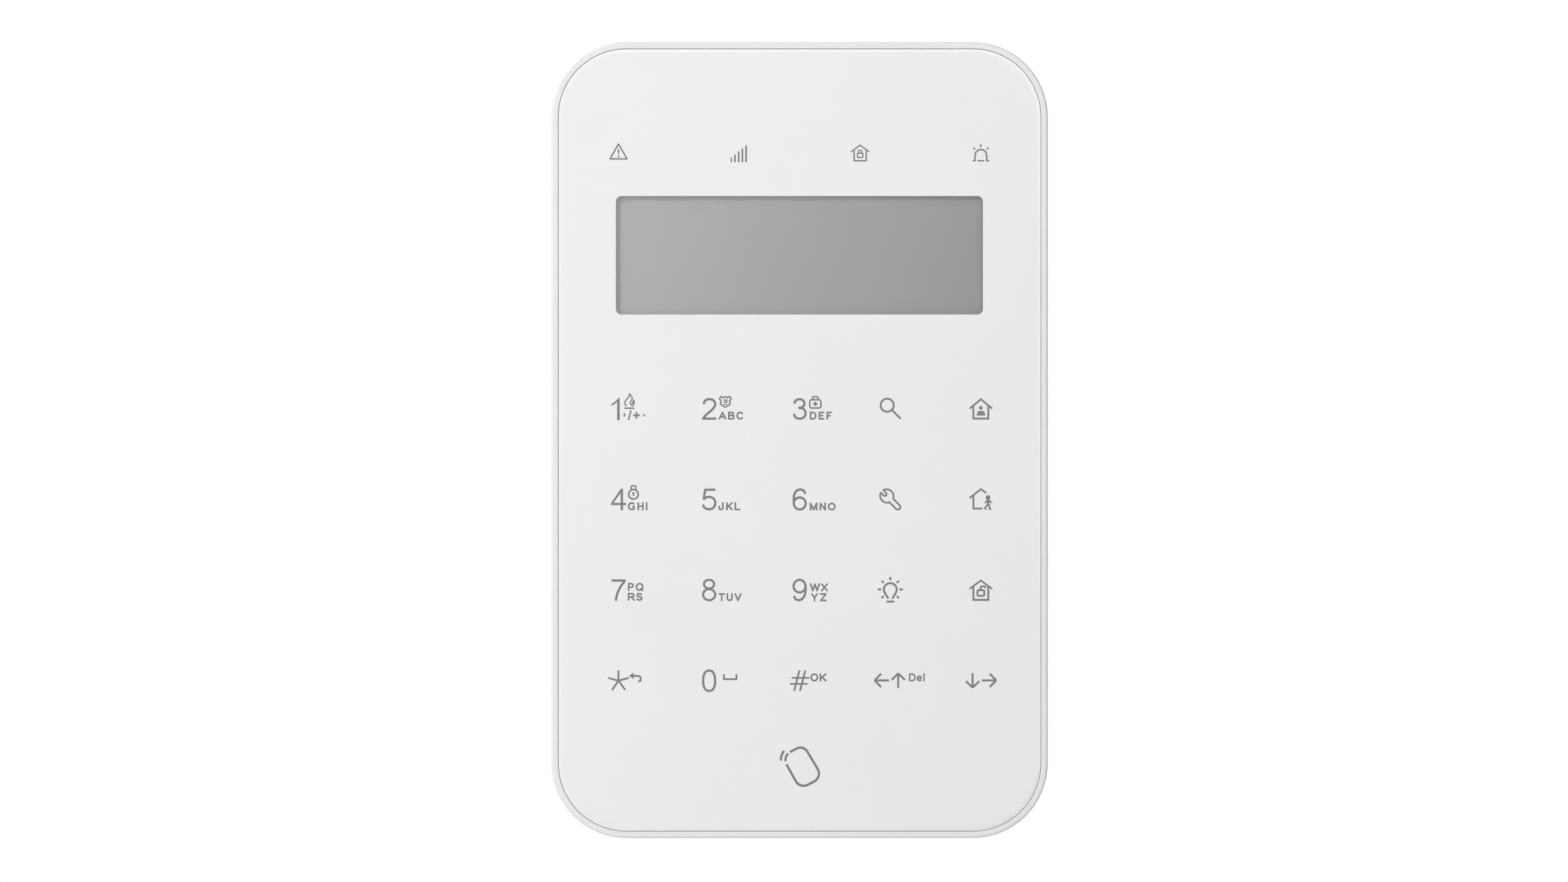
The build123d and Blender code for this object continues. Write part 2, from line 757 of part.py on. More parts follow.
with BuildPart() as tamper_spring:
    spring_wire = 0.2
    spring_low = flange_high + spring_wire + 0.02
    spring_high = board_back - 1.0 - spring_wire - 0.02
    with BuildLine() as spring_path:
        Helix(
            pitch=(spring_high - spring_low) / 2.5,
            height=spring_high - spring_low,
            radius=2.3,
            center=(tamper_x, -spring_low, tamper_z),
            direction=(0, -1, 0),
        )
    with BuildSketch(Plane(origin=spring_path.line @ 0, z_dir=spring_path.line % 0)):
        Circle(spring_wire)
    sweep(is_frenet=True)
save(tamper_spring, "tamper_spring")

reset_body_low = 15.4
reset_travel = 0.3
with BuildPart() as reset_switch:
    with BuildSketch(at(reset_body_low)):
        with Locations((reset_x, reset_z)):
            Rectangle(6.0, 6.0)
    extrude(amount=board_back - reset_body_low)
save(reset_switch, "reset_switch")

with BuildPart() as reset_button:
    with BuildSketch(at(back_outer - 0.8)):
        with Locations((reset_x, reset_z)):
            Circle(tamper_radius)
    extrude(amount=reset_body_low - reset_travel - 0.05 - (back_outer - 0.8))
    fillet(reset_button.faces().sort_by(Axis.Y)[-1].edges(), 0.4)
    with BuildSketch(at(sleeve_high + 0.1)):
        with Locations((reset_x, reset_z)):
            Circle(2.4)
    extrude(amount=0.8)
save(reset_button, "reset_button")

power_body_low = 14.6
with BuildPart() as power_switch:
    with BuildSketch(at(power_body_low)):
        with Locations((power_x, power_z)):
            Rectangle(8.6, 3.8)
            Rectangle(4.2, 1.8, mode=Mode.SUBTRACT)
    extrude(amount=board_back - power_body_low)
    with BuildSketch(at(board_back - 0.8)):
        with Locations((power_x, power_z)):
            Rectangle(8.6, 3.8)
    extrude(amount=0.8)
save(power_switch, "power_switch")

knob_x = power_x - power_travel / 2
with BuildPart() as power_knob:
    with BuildSketch(at(9.6)):
        with Locations((knob_x, power_z)):
            Rectangle(2.0, 1.6)
    extrude(amount=board_back - 0.9 - 9.6)
    fillet(power_knob.faces().sort_by(Axis.Y)[-1].edges(), 0.3)
save(power_knob, "power_knob")

# ================================================================== supply terminal
terminal_z = 66.0
terminal_low = 9.8
with BuildPart() as terminal_block:
    with BuildSketch(at(terminal_low)):
        with Locations((0, terminal_z)):
            Rectangle(10.2, 7.0)
    extrude(amount=board_back - terminal_low)
    # screw holes from the back, and wire entries from below
    with BuildSketch(at(terminal_low)):
        with Locations((-2.5, terminal_z), (2.5, terminal_z)):
            Circle(1.7)
    extrude(amount=3.0, mode=Mode.SUBTRACT)
    with BuildSketch(Plane.XY.offset(terminal_z - 3.5)):
        with Locations((-2.5, -14.6), (2.5, -14.6)):
            Rectangle(3.2, 3.2)
    extrude(amount=5.0, mode=Mode.SUBTRACT)
save(terminal_block, "terminal_block")

with BuildPart() as terminal_screws:
    with BuildSketch(at(terminal_low + 1.0)):
        with Locations((-2.5, terminal_z), (2.5, terminal_z)):
            Circle(1.55)
    extrude(amount=1.9)
    with BuildSketch(at(terminal_low + 1.0)):
        with Locations((-2.5, terminal_z), (2.5, terminal_z)):
            Rectangle(4.0, 0.5)
    extrude(amount=0.8, mode=Mode.SUBTRACT)
save(terminal_screws, "terminal_screws")

# ================================================================== cells and contacts
nub_radius, nub_length = 2.75, 1.2
spring_room = 4.6
cell_columns = [(index - 1.5) * cell_pitch for index in range(4)]
for index, x in enumerate(cell_columns):
    up = 1 if index % 2 == 0 else -1
    # the spring end takes more room than the flat end, so each cell sits off the bay's middle
    middle = bay_z + up * (bay_inner_height / 2 - 0.7 - cell_length / 2)
    body_length = cell_length - nub_length
    with BuildPart() as cell:
        with BuildSketch(Plane.XY.offset(middle - up * cell_length / 2)):
            with Locations((x, -cell_h)):
                Circle(cell_radius)
        extrude(amount=up * body_length)
        fillet(cell.edges().filter_by(GeomType.CIRCLE), 0.5)
        with BuildSketch(Plane.XY.offset(middle + up * (cell_length / 2 - nub_length))):
            with Locations((x, -cell_h)):
                Circle(nub_radius)
        extrude(amount=up * nub_length)
    save(cell, f"battery_cell_{index + 1}")

plate_size, contact_thick = 10.0, 0.4
with BuildPart() as contact_plates:
    # the top wall has a plate for each outer cell and a bridge for the middle pair, the lower wall two bridges
    top_columns = [cell_columns[:1], cell_columns[1:3], cell_columns[3:]]
    low_columns = [cell_columns[:2], cell_columns[2:]]
    for end, groups in ((1, top_columns), (-1, low_columns)):
        end_wall = bay_z + end * bay_inner_height / 2
        with BuildSketch(Plane.XY.offset(end_wall)):
            for group in groups:
                with Locations(((group[0] + group[-1]) / 2, -cell_h)):
                    Rectangle(group[-1] - group[0] + plate_size, plate_size)
        extrude(amount=-end * contact_thick)
save(contact_plates, "contact_plates")

coil_wire = 0.3
spring_length = bay_inner_height - cell_length - 0.7 - contact_thick - 2 * coil_wire - 0.1
with BuildPart() as contact_springs:
    for index, x in enumerate(cell_columns):
        up = 1 if index % 2 == 0 else -1
        foot = bay_z - up * (bay_inner_height / 2 - contact_thick - coil_wire)
        with BuildLine(mode=Mode.PRIVATE) as coil_path:
            Helix(
                pitch=spring_length / 3.5,
                height=spring_length,
                radius=3.4,
                center=(x, -cell_h, foot),
                direction=(0, 0, up),
                cone_angle=-12,
            )
        with BuildSketch(
            Plane(origin=coil_path.line @ 0, z_dir=coil_path.line % 0),
        ) as coil_section:
            Circle(coil_wire)
        sweep(sections=coil_section.sketch, path=coil_path.line, is_frenet=True)
save(contact_springs, "contact_springs")

# ================================================================== locking screw
with BuildPart() as lock_screw:
    head_top = lock_seat_z - lock_travel
    with BuildSketch(Plane.XY.offset(head_top - lock_head_thick)):
        with Locations((0, -screw_h)):
            Circle(lock_head)
    extrude(amount=lock_head_thick)
    fillet(lock_screw.faces().sort_by(Axis.Z)[0].edges(), 0.6)
    with BuildSketch(Plane.XY.offset(head_top)):
        with Locations((0, -screw_h)):
            Circle(lock_shank)
    extrude(amount=lock_length)
    chamfer(lock_screw.faces().sort_by(Axis.Z)[-1].edges(), 0.4)
    with BuildSketch(Plane.XY.offset(head_top - lock_head_thick)):
        with Locations((0, -screw_h)):
            Rectangle(3.0, 0.7)
            Rectangle(0.7, 3.0)
    extrude(amount=1.1, mode=Mode.SUBTRACT)
save(lock_screw, "lock_screw")
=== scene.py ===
import math

import bmesh
import bpy
from mathutils import Matrix, Vector
from mathutils.geometry import delaunay_2d_cdt


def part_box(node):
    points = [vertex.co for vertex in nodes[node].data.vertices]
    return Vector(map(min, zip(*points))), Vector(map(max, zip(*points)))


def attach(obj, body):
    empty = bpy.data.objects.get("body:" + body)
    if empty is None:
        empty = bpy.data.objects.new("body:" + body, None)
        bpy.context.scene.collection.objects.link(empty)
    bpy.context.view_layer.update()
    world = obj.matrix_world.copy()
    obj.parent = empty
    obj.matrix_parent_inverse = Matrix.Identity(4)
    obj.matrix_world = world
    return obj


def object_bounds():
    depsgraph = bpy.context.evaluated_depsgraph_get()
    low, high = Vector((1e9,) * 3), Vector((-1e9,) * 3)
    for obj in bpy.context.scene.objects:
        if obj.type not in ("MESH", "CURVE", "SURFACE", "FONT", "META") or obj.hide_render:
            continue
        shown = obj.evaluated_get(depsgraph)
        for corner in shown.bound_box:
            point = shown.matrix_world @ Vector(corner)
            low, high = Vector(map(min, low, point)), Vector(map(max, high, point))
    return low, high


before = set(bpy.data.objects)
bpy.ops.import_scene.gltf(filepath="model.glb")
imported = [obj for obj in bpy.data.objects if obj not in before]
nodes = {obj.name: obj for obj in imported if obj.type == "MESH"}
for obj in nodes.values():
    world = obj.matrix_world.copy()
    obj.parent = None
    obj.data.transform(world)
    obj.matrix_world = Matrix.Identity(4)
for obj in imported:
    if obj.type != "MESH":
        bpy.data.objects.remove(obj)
cad_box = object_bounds()
MM = 0.001
INK_PROUD, INK_SUNK = 0.00003, 0.00002     # how far a print stands out of the face and reaches into it
SNAP = 0.0008                              # points of a print closer than this many millimetres become one
LETTER_CURVE = 2.1                         # exponent of the round small letters
FLAT_END_MITRE = 0.08                      # lets the sharp corners of small letters run out to their box

# Printed legends. Each has its centre (x, z) on the face and its items in millimetres from there. An item is
# its kind, the width of its line, its points, and for F the corners' radius or for O the oval's exponent.
# The kinds are C closed line with round corners, F line with filleted corners, L line, R line with round ends,
# S smooth line through the points, O oval by its centre and half sizes, D disc by its radius and centre,
# P filled outline and X outline cut out.
LEGENDS = {
    "warning": ((-38.0, 60.2), [
        ("C", 0.3, [(0.06, 1.8), (1.85, -1.3), (-1.73, -1.3)]),
        ("D", 0.19, [(0.06, 0.55)]),
        ("P", 0.0, [(-0.13, 0.55), (0.25, 0.55), (0.14, -0.45), (-0.01, -0.45)]),
        ("D", 0.2, [(0.06, -0.79)]),
    ]),
    "signal": ((-12.67, 60.2), [
        ("L", 0.3, [(-1.64, -1.06), (-1.64, -1.98)]),
        ("L", 0.33, [(-0.87, -0.41), (-0.87, -1.98)]),
        ("L", 0.33, [(-0.09, 0.24), (-0.09, -1.98)]),
        ("L", 0.34, [(0.68, 0.88), (0.68, -1.98)]),
        ("L", 0.35, [(1.46, 1.52), (1.46, -1.98)]),
    ]),
    "armed": ((12.67, 60.2), [
        ("L", 0.28, [(-1.91, 0.17), (0.0, 1.58), (1.92, 0.17)]),
        ("L", 0.3, [(-1.26, 0.55), (-1.26, -1.68), (1.27, -1.68), (1.27, 0.55)]),
        ("F", 0.28, [(0.01, -0.11), (0.59, -0.11), (0.59, -1.0), (-0.56, -1.0), (-0.56, -0.11),
                     (0.01, -0.11)], 0.21),
        ("F", 0.25, [(-0.35, -0.03), (-0.35, 0.51), (0.35, 0.51), (0.35, -0.03)], 0.22),
    ]),
    "siren": ((38.0, 60.2), [
        ("S", 0.33, [(-1.26, -1.65), (-1.26, -1.02), (-1.25, -0.51), (-1.06, 0.09), (-0.64, 0.5),
                     (-0.03, 0.66), (0.57, 0.5), (0.99, 0.09), (1.18, -0.51), (1.19, -1.02),
                     (1.19, -1.65)]),
        ("L", 0.3, [(-1.77, -1.68), (-1.09, -1.68)]),
        ("L", 0.3, [(-0.74, -1.68), (0.68, -1.68)]),
        ("L", 0.3, [(1.04, -1.68), (1.72, -1.68)]),
        ("L", 0.33, [(-0.06, 1.75), (-0.06, 1.18)]),
        ("L", 0.3, [(-1.65, 1.06), (-1.24, 0.66)]),
        ("L", 0.3, [(1.58, 1.06), (1.17, 0.66)]),
    ]),
    "stay": ((38.0, 6.5), [
        ("L", 0.38, [(-2.4, 0.09), (-0.04, 2.05), (2.34, 0.09)]),
        ("L", 0.39, [(-1.6, 0.66), (-1.6, -2.0), (1.53, -2.0), (1.53, 0.66)]),
        ("D", 0.39, [(-0.04, 0.24)]),
        ("P", 0.0, [(-0.91, -1.38), (-0.88, -1.09), (-0.79, -0.79), (-0.66, -0.55), (-0.51, -0.43),
                    (-0.36, -0.4), (0.31, -0.4), (0.48, -0.43), (0.63, -0.55), (0.75, -0.79), (0.84, -1.09),
                    (0.88, -1.38)]),
    ]),
    "away": ((38.0, -12.5), [
        ("L", 0.38, [(-2.4, 0.33), (-0.02, 2.22), (1.09, 1.39)]),
        ("L", 0.38, [(-1.59, 0.89), (-1.59, -1.85), (0.26, -1.85)]),
        ("D", 0.49, [(1.47, 0.46)]),
        ("R", 0.3, [(1.27, -0.19), (0.86, -0.61)]),
        ("R", 0.3, [(1.67, -0.16), (2.19, -0.56)]),
        ("P", 0.0, [(1.12, -0.04), (1.84, -0.04), (1.82, -0.59), (1.69, -0.99), (1.3, -0.99),
                    (1.22, -0.59)]),
        ("L", 0.34, [(1.43, -0.86), (1.17, -1.34), (0.73, -1.75)]),
        ("R", 0.28, [(0.75, -1.78), (1.09, -2.0)]),
        ("L", 0.38, [(1.54, -0.71), (1.72, -1.28), (1.83, -1.96)]),
        ("R", 0.31, [(1.74, -1.96), (2.1, -1.96)]),
    ]),
    "disarm": ((38.0, -31.5), [
        ("L", 0.36, [(-2.41, 0.31), (-0.04, 2.08), (2.34, 0.31)]),
        ("L", 0.4, [(-1.6, 0.84), (-1.6, -1.99), (1.53, -1.99), (1.53, 0.84)]),
        ("F", 0.38, [(-0.04, 0.04), (0.69, 0.04), (0.69, -1.14), (-0.76, -1.14), (-0.76, 0.04),
                     (-0.04, 0.04)], 0.26),
        ("F", 0.35, [(-0.12, 0.14), (-0.12, 0.84), (0.89, 0.84), (0.89, 0.56)], 0.29),
        ("D", 0.18, [(0.89, 0.57)]),
    ]),
    "light": ((19.0, -31.5), [
        ("S", 0.42, [(-0.51, -1.76), (-0.54, -1.53), (-0.76, -1.14), (-1.1, -0.61), (-1.32, -0.08),
                     (-1.32, 0.51), (-1.03, 1.05), (-0.56, 1.4), (-0.01, 1.52), (0.54, 1.4), (1.0, 1.05),
                     (1.29, 0.51), (1.29, -0.08), (1.08, -0.61), (0.76, -1.14), (0.54, -1.53),
                     (0.51, -1.76)]),
        ("L", 0.43, [(-0.78, -2.35), (0.8, -2.35)]),
        ("L", 0.43, [(-0.01, 2.81), (-0.01, 2.14)]),
        ("L", 0.4, [(-1.82, 2.02), (-1.39, 1.58)]),
        ("L", 0.4, [(1.79, 2.02), (1.36, 1.58)]),
        ("L", 0.43, [(-2.63, 0.21), (-1.92, 0.21)]),
        ("L", 0.43, [(1.9, 0.21), (2.63, 0.21)]),
        ("L", 0.4, [(-1.82, -1.62), (-1.39, -1.18)]),
        ("L", 0.4, [(1.81, -1.62), (1.36, -1.18)]),
    ]),
    "key_1": ((-38.0, 6.5), [
        ("P", 0.0, [(-1.4, 1.1), (-0.87, 1.4), (-0.44, 1.74), (-0.13, 2.07), (0.09, 2.34), (0.3, 2.34),
                    (0.3, -2.33), (-0.23, -2.33), (-0.23, 1.54), (-0.55, 1.23), (-0.93, 0.94),
                    (-1.4, 0.67)]),
        ("S", 0.27, [(1.76, 0.59), (1.46, 0.93), (1.37, 1.29), (1.53, 1.72), (1.87, 2.14), (2.2, 2.53),
                     (2.37, 2.89), (2.27, 3.17)]),
        ("D", 0.14, [(2.29, 3.12)]),
        ("S", 0.26, [(2.27, 3.2), (2.63, 2.89), (2.87, 2.46), (2.89, 2.03), (2.67, 1.64), (2.49, 1.29),
                     (2.67, 0.96), (2.96, 1.17), (3.13, 1.54), (3.19, 1.92)]),
        ("S", 0.27, [(3.19, 1.92), (3.33, 1.54), (3.34, 1.17), (3.16, 0.83), (2.76, 0.57)]),
        ("L", 0.31, [(1.3, 0.17), (3.42, 0.17)]),
        ("P", 0.0, [(1.09, -0.91), (1.49, -0.91), (1.49, -1.28), (1.43, -1.48), (1.29, -1.63),
                    (1.13, -1.68), (1.09, -1.55), (1.2, -1.47), (1.26, -1.31), (1.09, -1.31)]),
        ("P", 0.0, [(2.52, -0.24), (2.82, -0.24), (2.29, -2.33), (1.96, -2.33)]),
        ("L", 0.37, [(3.12, -1.3), (4.5, -1.3)]),
        ("L", 0.37, [(3.8, -0.61), (3.8, -2.0)]),
        ("P", 0.0, [(5.24, -1.11), (5.63, -1.11), (5.63, -1.5), (5.24, -1.5)]),
    ]),
    "key_2": ((-19.0, 6.5), [
        ("S", 0.47, [(-1.07, 0.99), (-1.0, 1.4), (-0.74, 1.79), (-0.32, 2.02), (0.12, 2.06), (0.58, 2.0),
                     (0.97, 1.79), (1.23, 1.43), (1.3, 1.02), (1.19, 0.58), (0.93, 0.15), (0.36, -0.42),
                     (-0.35, -1.02), (-0.85, -1.49), (-1.14, -1.89)]),
        ("P", 0.0, [(-1.47, -2.24), (-1.47, -1.98), (-1.27, -1.65), (-0.68, -1.65), (-0.68, -1.79),
                    (1.55, -1.79), (1.55, -2.24)]),
        ("C", 0.3, [(2.56, 2.65), (3.0, 2.36), (3.43, 2.6), (3.86, 2.36), (4.3, 2.65), (4.67, 2.13),
                    (4.37, 1.79), (4.35, 1.55), (4.46, 1.02), (3.43, 0.38), (2.4, 1.02), (2.52, 1.55),
                    (2.49, 1.79), (2.19, 2.13)]),
        ("P", 0.0, [(3.07, 2.02), (3.85, 2.02), (3.85, 1.29), (3.07, 1.29)]),
        ("X", 0.0, [(3.3, 1.88), (3.49, 1.88), (3.49, 1.7), (3.43, 1.62), (3.49, 1.45), (3.26, 1.45),
                    (3.26, 1.7)]),
        ("L", 0.21, [(3.07, 0.98), (3.85, 0.98)]),
    ]),
    "key_3": ((0.0, 6.5), [
        ("S", 0.47, [(-1.08, 1.12), (-0.98, 1.51), (-0.7, 1.88), (-0.1, 2.06), (0.52, 1.92), (0.9, 1.59),
                     (1.0, 1.15), (0.85, 0.68), (0.42, 0.36), (-0.31, 0.21)]),
        ("S", 0.47, [(0.05, 0.22), (0.69, 0.08), (1.12, -0.35), (1.25, -0.89), (1.07, -1.49), (0.62, -1.89),
                     (-0.03, -2.02), (-0.67, -1.86), (-1.03, -1.49), (-1.17, -1.02)]),
        ("F", 0.31, [(3.29, 1.94), (4.46, 1.94), (4.46, 0.21), (2.12, 0.21), (2.12, 1.94),
                     (3.29, 1.94)], 0.39),
        ("F", 0.29, [(2.72, 1.96), (2.72, 2.58), (3.87, 2.58), (3.87, 1.96)], 0.23),
        ("L", 0.37, [(2.83, 1.08), (3.73, 1.08)]),
        ("L", 0.37, [(3.27, 1.54), (3.27, 0.62)]),
    ]),
    "find": ((19.0, 6.5), [
        ("O", 0.4, [(-0.66, 0.8), (1.37, 1.37)], 2.0),
        ("R", 0.4, [(0.34, -0.19), (2.08, -1.94)]),
    ]),
    "key_4": ((-38.0, -12.5), [
        ("L", 0.5, [(0.75, 2.3), (0.75, -2.22)]),
        ("L", 0.46, [(-1.5, -0.9), (1.65, -0.9)]),
        ("P", 0.0, [(-1.5, -0.69), (0.58, 2.3), (0.99, 2.3), (0.99, 2.07), (0.75, 1.75), (-1.05, -0.7),
                    (-1.05, -1.12), (-1.5, -1.12)]),
        ("O", 0.34, [(3.19, 1.13), (1.0, 1.0)], 2.0),
        ("F", 0.3, [(2.7, 1.98), (2.7, 2.91), (3.69, 2.91), (3.69, 1.98)], 0.3),
        ("D", 0.26, [(3.19, 1.34)]),
        ("P", 0.0, [(3.05, 1.24), (3.33, 1.24), (3.3, 0.73), (3.07, 0.73)]),
    ]),
    "key_5": ((-19.0, -12.5), [
        ("L", 0.47, [(-0.92, 2.09), (1.32, 2.09)]),
        ("P", 0.0, [(-0.97, 2.32), (-0.51, 2.26), (-0.87, 0.33), (-0.88, -0.04), (-1.37, 0.06)]),
        ("S", 0.47, [(-1.07, 0.05), (-0.75, 0.4), (0.0, 0.59), (0.79, 0.36), (1.22, -0.13), (1.32, -0.74),
                     (1.15, -1.38), (0.68, -1.85), (0.0, -2.0), (-0.64, -1.85), (-1.07, -1.5),
                     (-1.21, -1.01)]),
    ]),
    "key_6": ((0.0, -12.5), [
        ("S", 0.47, [(1.19, 1.26), (0.97, 1.74), (0.56, 2.06), (0.06, 2.14), (-0.51, 1.97), (-0.94, 1.49),
                     (-1.17, 0.82), (-1.22, 0.03), (-1.2, -0.78)]),
        ("O", 0.47, [(0.03, -0.78), (1.24, 1.26)], 2.0),
    ]),
    "tools": ((19.0, -12.5), [
        ("C", 0.37, [(-1.47, 2.01), (-0.95, 1.5), (-0.76, 1.2), (-0.85, 0.92), (-1.1, 0.77), (-1.38, 0.86),
                     (-1.98, 1.48), (-2.14, 1.0), (-2.11, 0.49), (-1.89, 0.01), (-1.49, -0.39),
                     (-1.0, -0.6), (-0.53, -0.63), (-0.18, -0.51), (1.13, -1.86), (1.38, -2.04),
                     (1.68, -2.07), (1.94, -1.93), (2.1, -1.65), (2.08, -1.37), (1.93, -1.14), (0.59, 0.23),
                     (0.7, 0.62), (0.66, 1.07), (0.45, 1.55), (0.11, 1.9), (-0.34, 2.11), (-0.78, 2.18),
                     (-1.17, 2.11)]),
    ]),
    "key_7": ((-38.0, -31.5), [
        ("L", 0.47, [(-1.41, 2.07), (1.54, 2.07)]),
        ("S", 0.47, [(1.31, 1.88), (0.75, 1.18), (0.22, 0.3), (-0.17, -0.61), (-0.4, -1.46),
                     (-0.5, -2.18)]),
        ("P", 0.0, [(0.75, 1.83), (1.27, 2.07), (1.54, 2.2), (1.54, 1.86), (1.07, 1.31)]),
    ]),
    "key_8": ((-19.0, -31.5), [
        ("O", 0.45, [(0.03, 1.31), (1.07, 0.91)], 2.0),
        ("O", 0.46, [(0.04, -0.89), (1.27, 1.16)], 2.0),
    ]),
    "key_9": ((0.0, -31.5), [
        ("O", 0.46, [(-0.02, 0.89), (1.25, 1.32)], 2.0),
        ("S", 0.46, [(1.26, 0.95), (1.27, 0.3), (1.18, -0.49), (0.93, -1.27), (0.47, -1.83), (-0.18, -2.04),
                     (-0.77, -1.86), (-1.05, -1.53), (-1.16, -1.15)]),
    ]),
    "key_star": ((-38.0, -50.5), [
        ("L", 0.42, [(0.05, 2.23), (0.05, 0.01)]),
        ("L", 0.39, [(-2.11, 0.68), (0.05, 0.08)]),
        ("L", 0.39, [(2.22, 0.68), (0.05, 0.08)]),
        ("L", 0.39, [(-1.31, -1.9), (0.07, 0.14)]),
        ("L", 0.39, [(1.46, -1.85), (0.02, 0.14)]),
        ("P", 0.0, [(2.26, 1.09), (3.21, 1.77), (3.21, 0.41)]),
        ("F", 0.37, [(3.12, 1.09), (4.7, 1.09), (4.7, -0.03), (4.14, -0.03)], 0.63),
    ]),
    "key_0": ((-19.0, -50.5), [
        ("O", 0.46, [(0.04, 0.08), (1.25, 2.13)], 2.35),
        ("L", 0.37, [(3.14, 1.44), (3.14, 0.41), (5.76, 0.41), (5.76, 1.44)]),
    ]),
    "key_hash": ((0.0, -50.5), [
        ("L", 0.39, [(-0.04, 2.23), (-1.16, -2.06)]),
        ("L", 0.39, [(1.19, 2.23), (0.08, -2.06)]),
        ("L", 0.35, [(-1.68, 0.68), (2.04, 0.68)]),
        ("L", 0.35, [(-2.01, -0.58), (1.68, -0.58)]),
    ]),
    "left_up": ((19.0, -50.5), [
        ("F", 0.42, [(-1.93, 1.55), (-3.3, 0.15), (-1.93, -1.25)], 0.3),
        ("L", 0.42, [(-3.14, 0.15), (-0.27, 0.15)]),
        ("F", 0.42, [(0.27, 0.25), (1.65, 1.62), (3.04, 0.25)], 0.3),
        ("L", 0.42, [(1.65, 1.5), (1.65, -1.41)]),
    ]),
    "down_right": ((38.0, -50.5), [
        ("L", 0.42, [(-1.77, 1.64), (-1.77, -1.3)]),
        ("F", 0.42, [(-3.14, -0.0), (-1.77, -1.38), (-0.36, -0.0)], 0.3),
        ("L", 0.42, [(0.17, 0.15), (3.11, 0.15)]),
        ("F", 0.42, [(1.82, 1.55), (3.19, 0.15), (1.82, -1.25)], 0.3),
    ]),
    "card": ((0.0, -68.5), [
        ("F", 0.48, [(-2.03, 3.13), (0.78, 4.63), (4.8, -2.11), (0.08, -4.56), (-2.76, 0.58)], 1.87),
        ("S", 0.46, [(-2.99, 1.22), (-2.94, 1.79), (-2.76, 2.33), (-2.4, 2.8)]),
        ("S", 0.46, [(-3.93, 1.34), (-3.88, 2.08), (-3.65, 2.81), (-3.23, 3.38)]),
    ]),
}

# Small letters: the line width, then each letter's left, right, bottom and top on the face, millimetres.
LETTERS = {
    "key_2": (0.34, [("A", -16.97, -15.34, 4.29, 5.95), ("B", -15.00, -13.61, 4.29, 5.95),
                     ("C", -13.26, -11.80, 4.29, 5.95)]),
    "key_3": (0.34, [("D", 2.12, 3.50, 4.27, 5.94), ("E", 3.98, 5.18, 4.27, 5.94),
                     ("F", 5.63, 6.75, 4.27, 5.94)]),
    "key_4": (0.34, [("G", -35.98, -34.45, -14.72, -13.02), ("H", -33.98, -32.68, -14.72, -13.02),
                     ("I", -32.22, -31.84, -14.72, -13.02)]),
    "key_5": (0.34, [("J", -17.00, -15.93, -14.71, -13.04), ("K", -15.41, -14.00, -14.71, -13.04),
                     ("L", -13.63, -12.44, -14.71, -13.04)]),
    "key_6": (0.34, [("M", 2.11, 3.73, -14.75, -13.11), ("N", 4.18, 5.51, -14.75, -13.11),
                     ("O", 5.90, 7.55, -14.75, -13.11)]),
    "key_7": (0.34, [("P", -35.99, -34.73, -31.62, -29.92), ("Q", -34.35, -32.72, -31.62, -29.92),
                     ("R", -35.99, -34.51, -33.68, -32.01), ("S", -34.25, -32.89, -33.68, -32.01)]),
    "key_8": (0.34, [("T", -16.98, -15.66, -33.75, -32.08), ("U", -15.31, -14.01, -33.75, -32.08),
                     ("V", -13.65, -12.16, -33.75, -32.08)]),
    "key_9": (0.34, [("W", 2.13, 4.27, -31.70, -30.02), ("X", 4.48, 5.93, -31.70, -30.02),
                     ("Y", 2.39, 3.84, -33.78, -32.09), ("Z", 4.27, 5.64, -33.78, -32.09)]),
    "key_hash": (0.34, [("O", 2.27, 3.90, -50.58, -48.88), ("K", 4.18, 5.64, -50.58, -48.88)]),
    "left_up": (0.31, [("D", 22.91, 24.30, -50.55, -48.88), ("e", 24.53, 25.65, -50.55, -49.31),
                       ("I", 25.91, 26.24, -50.55, -48.88)]),
}

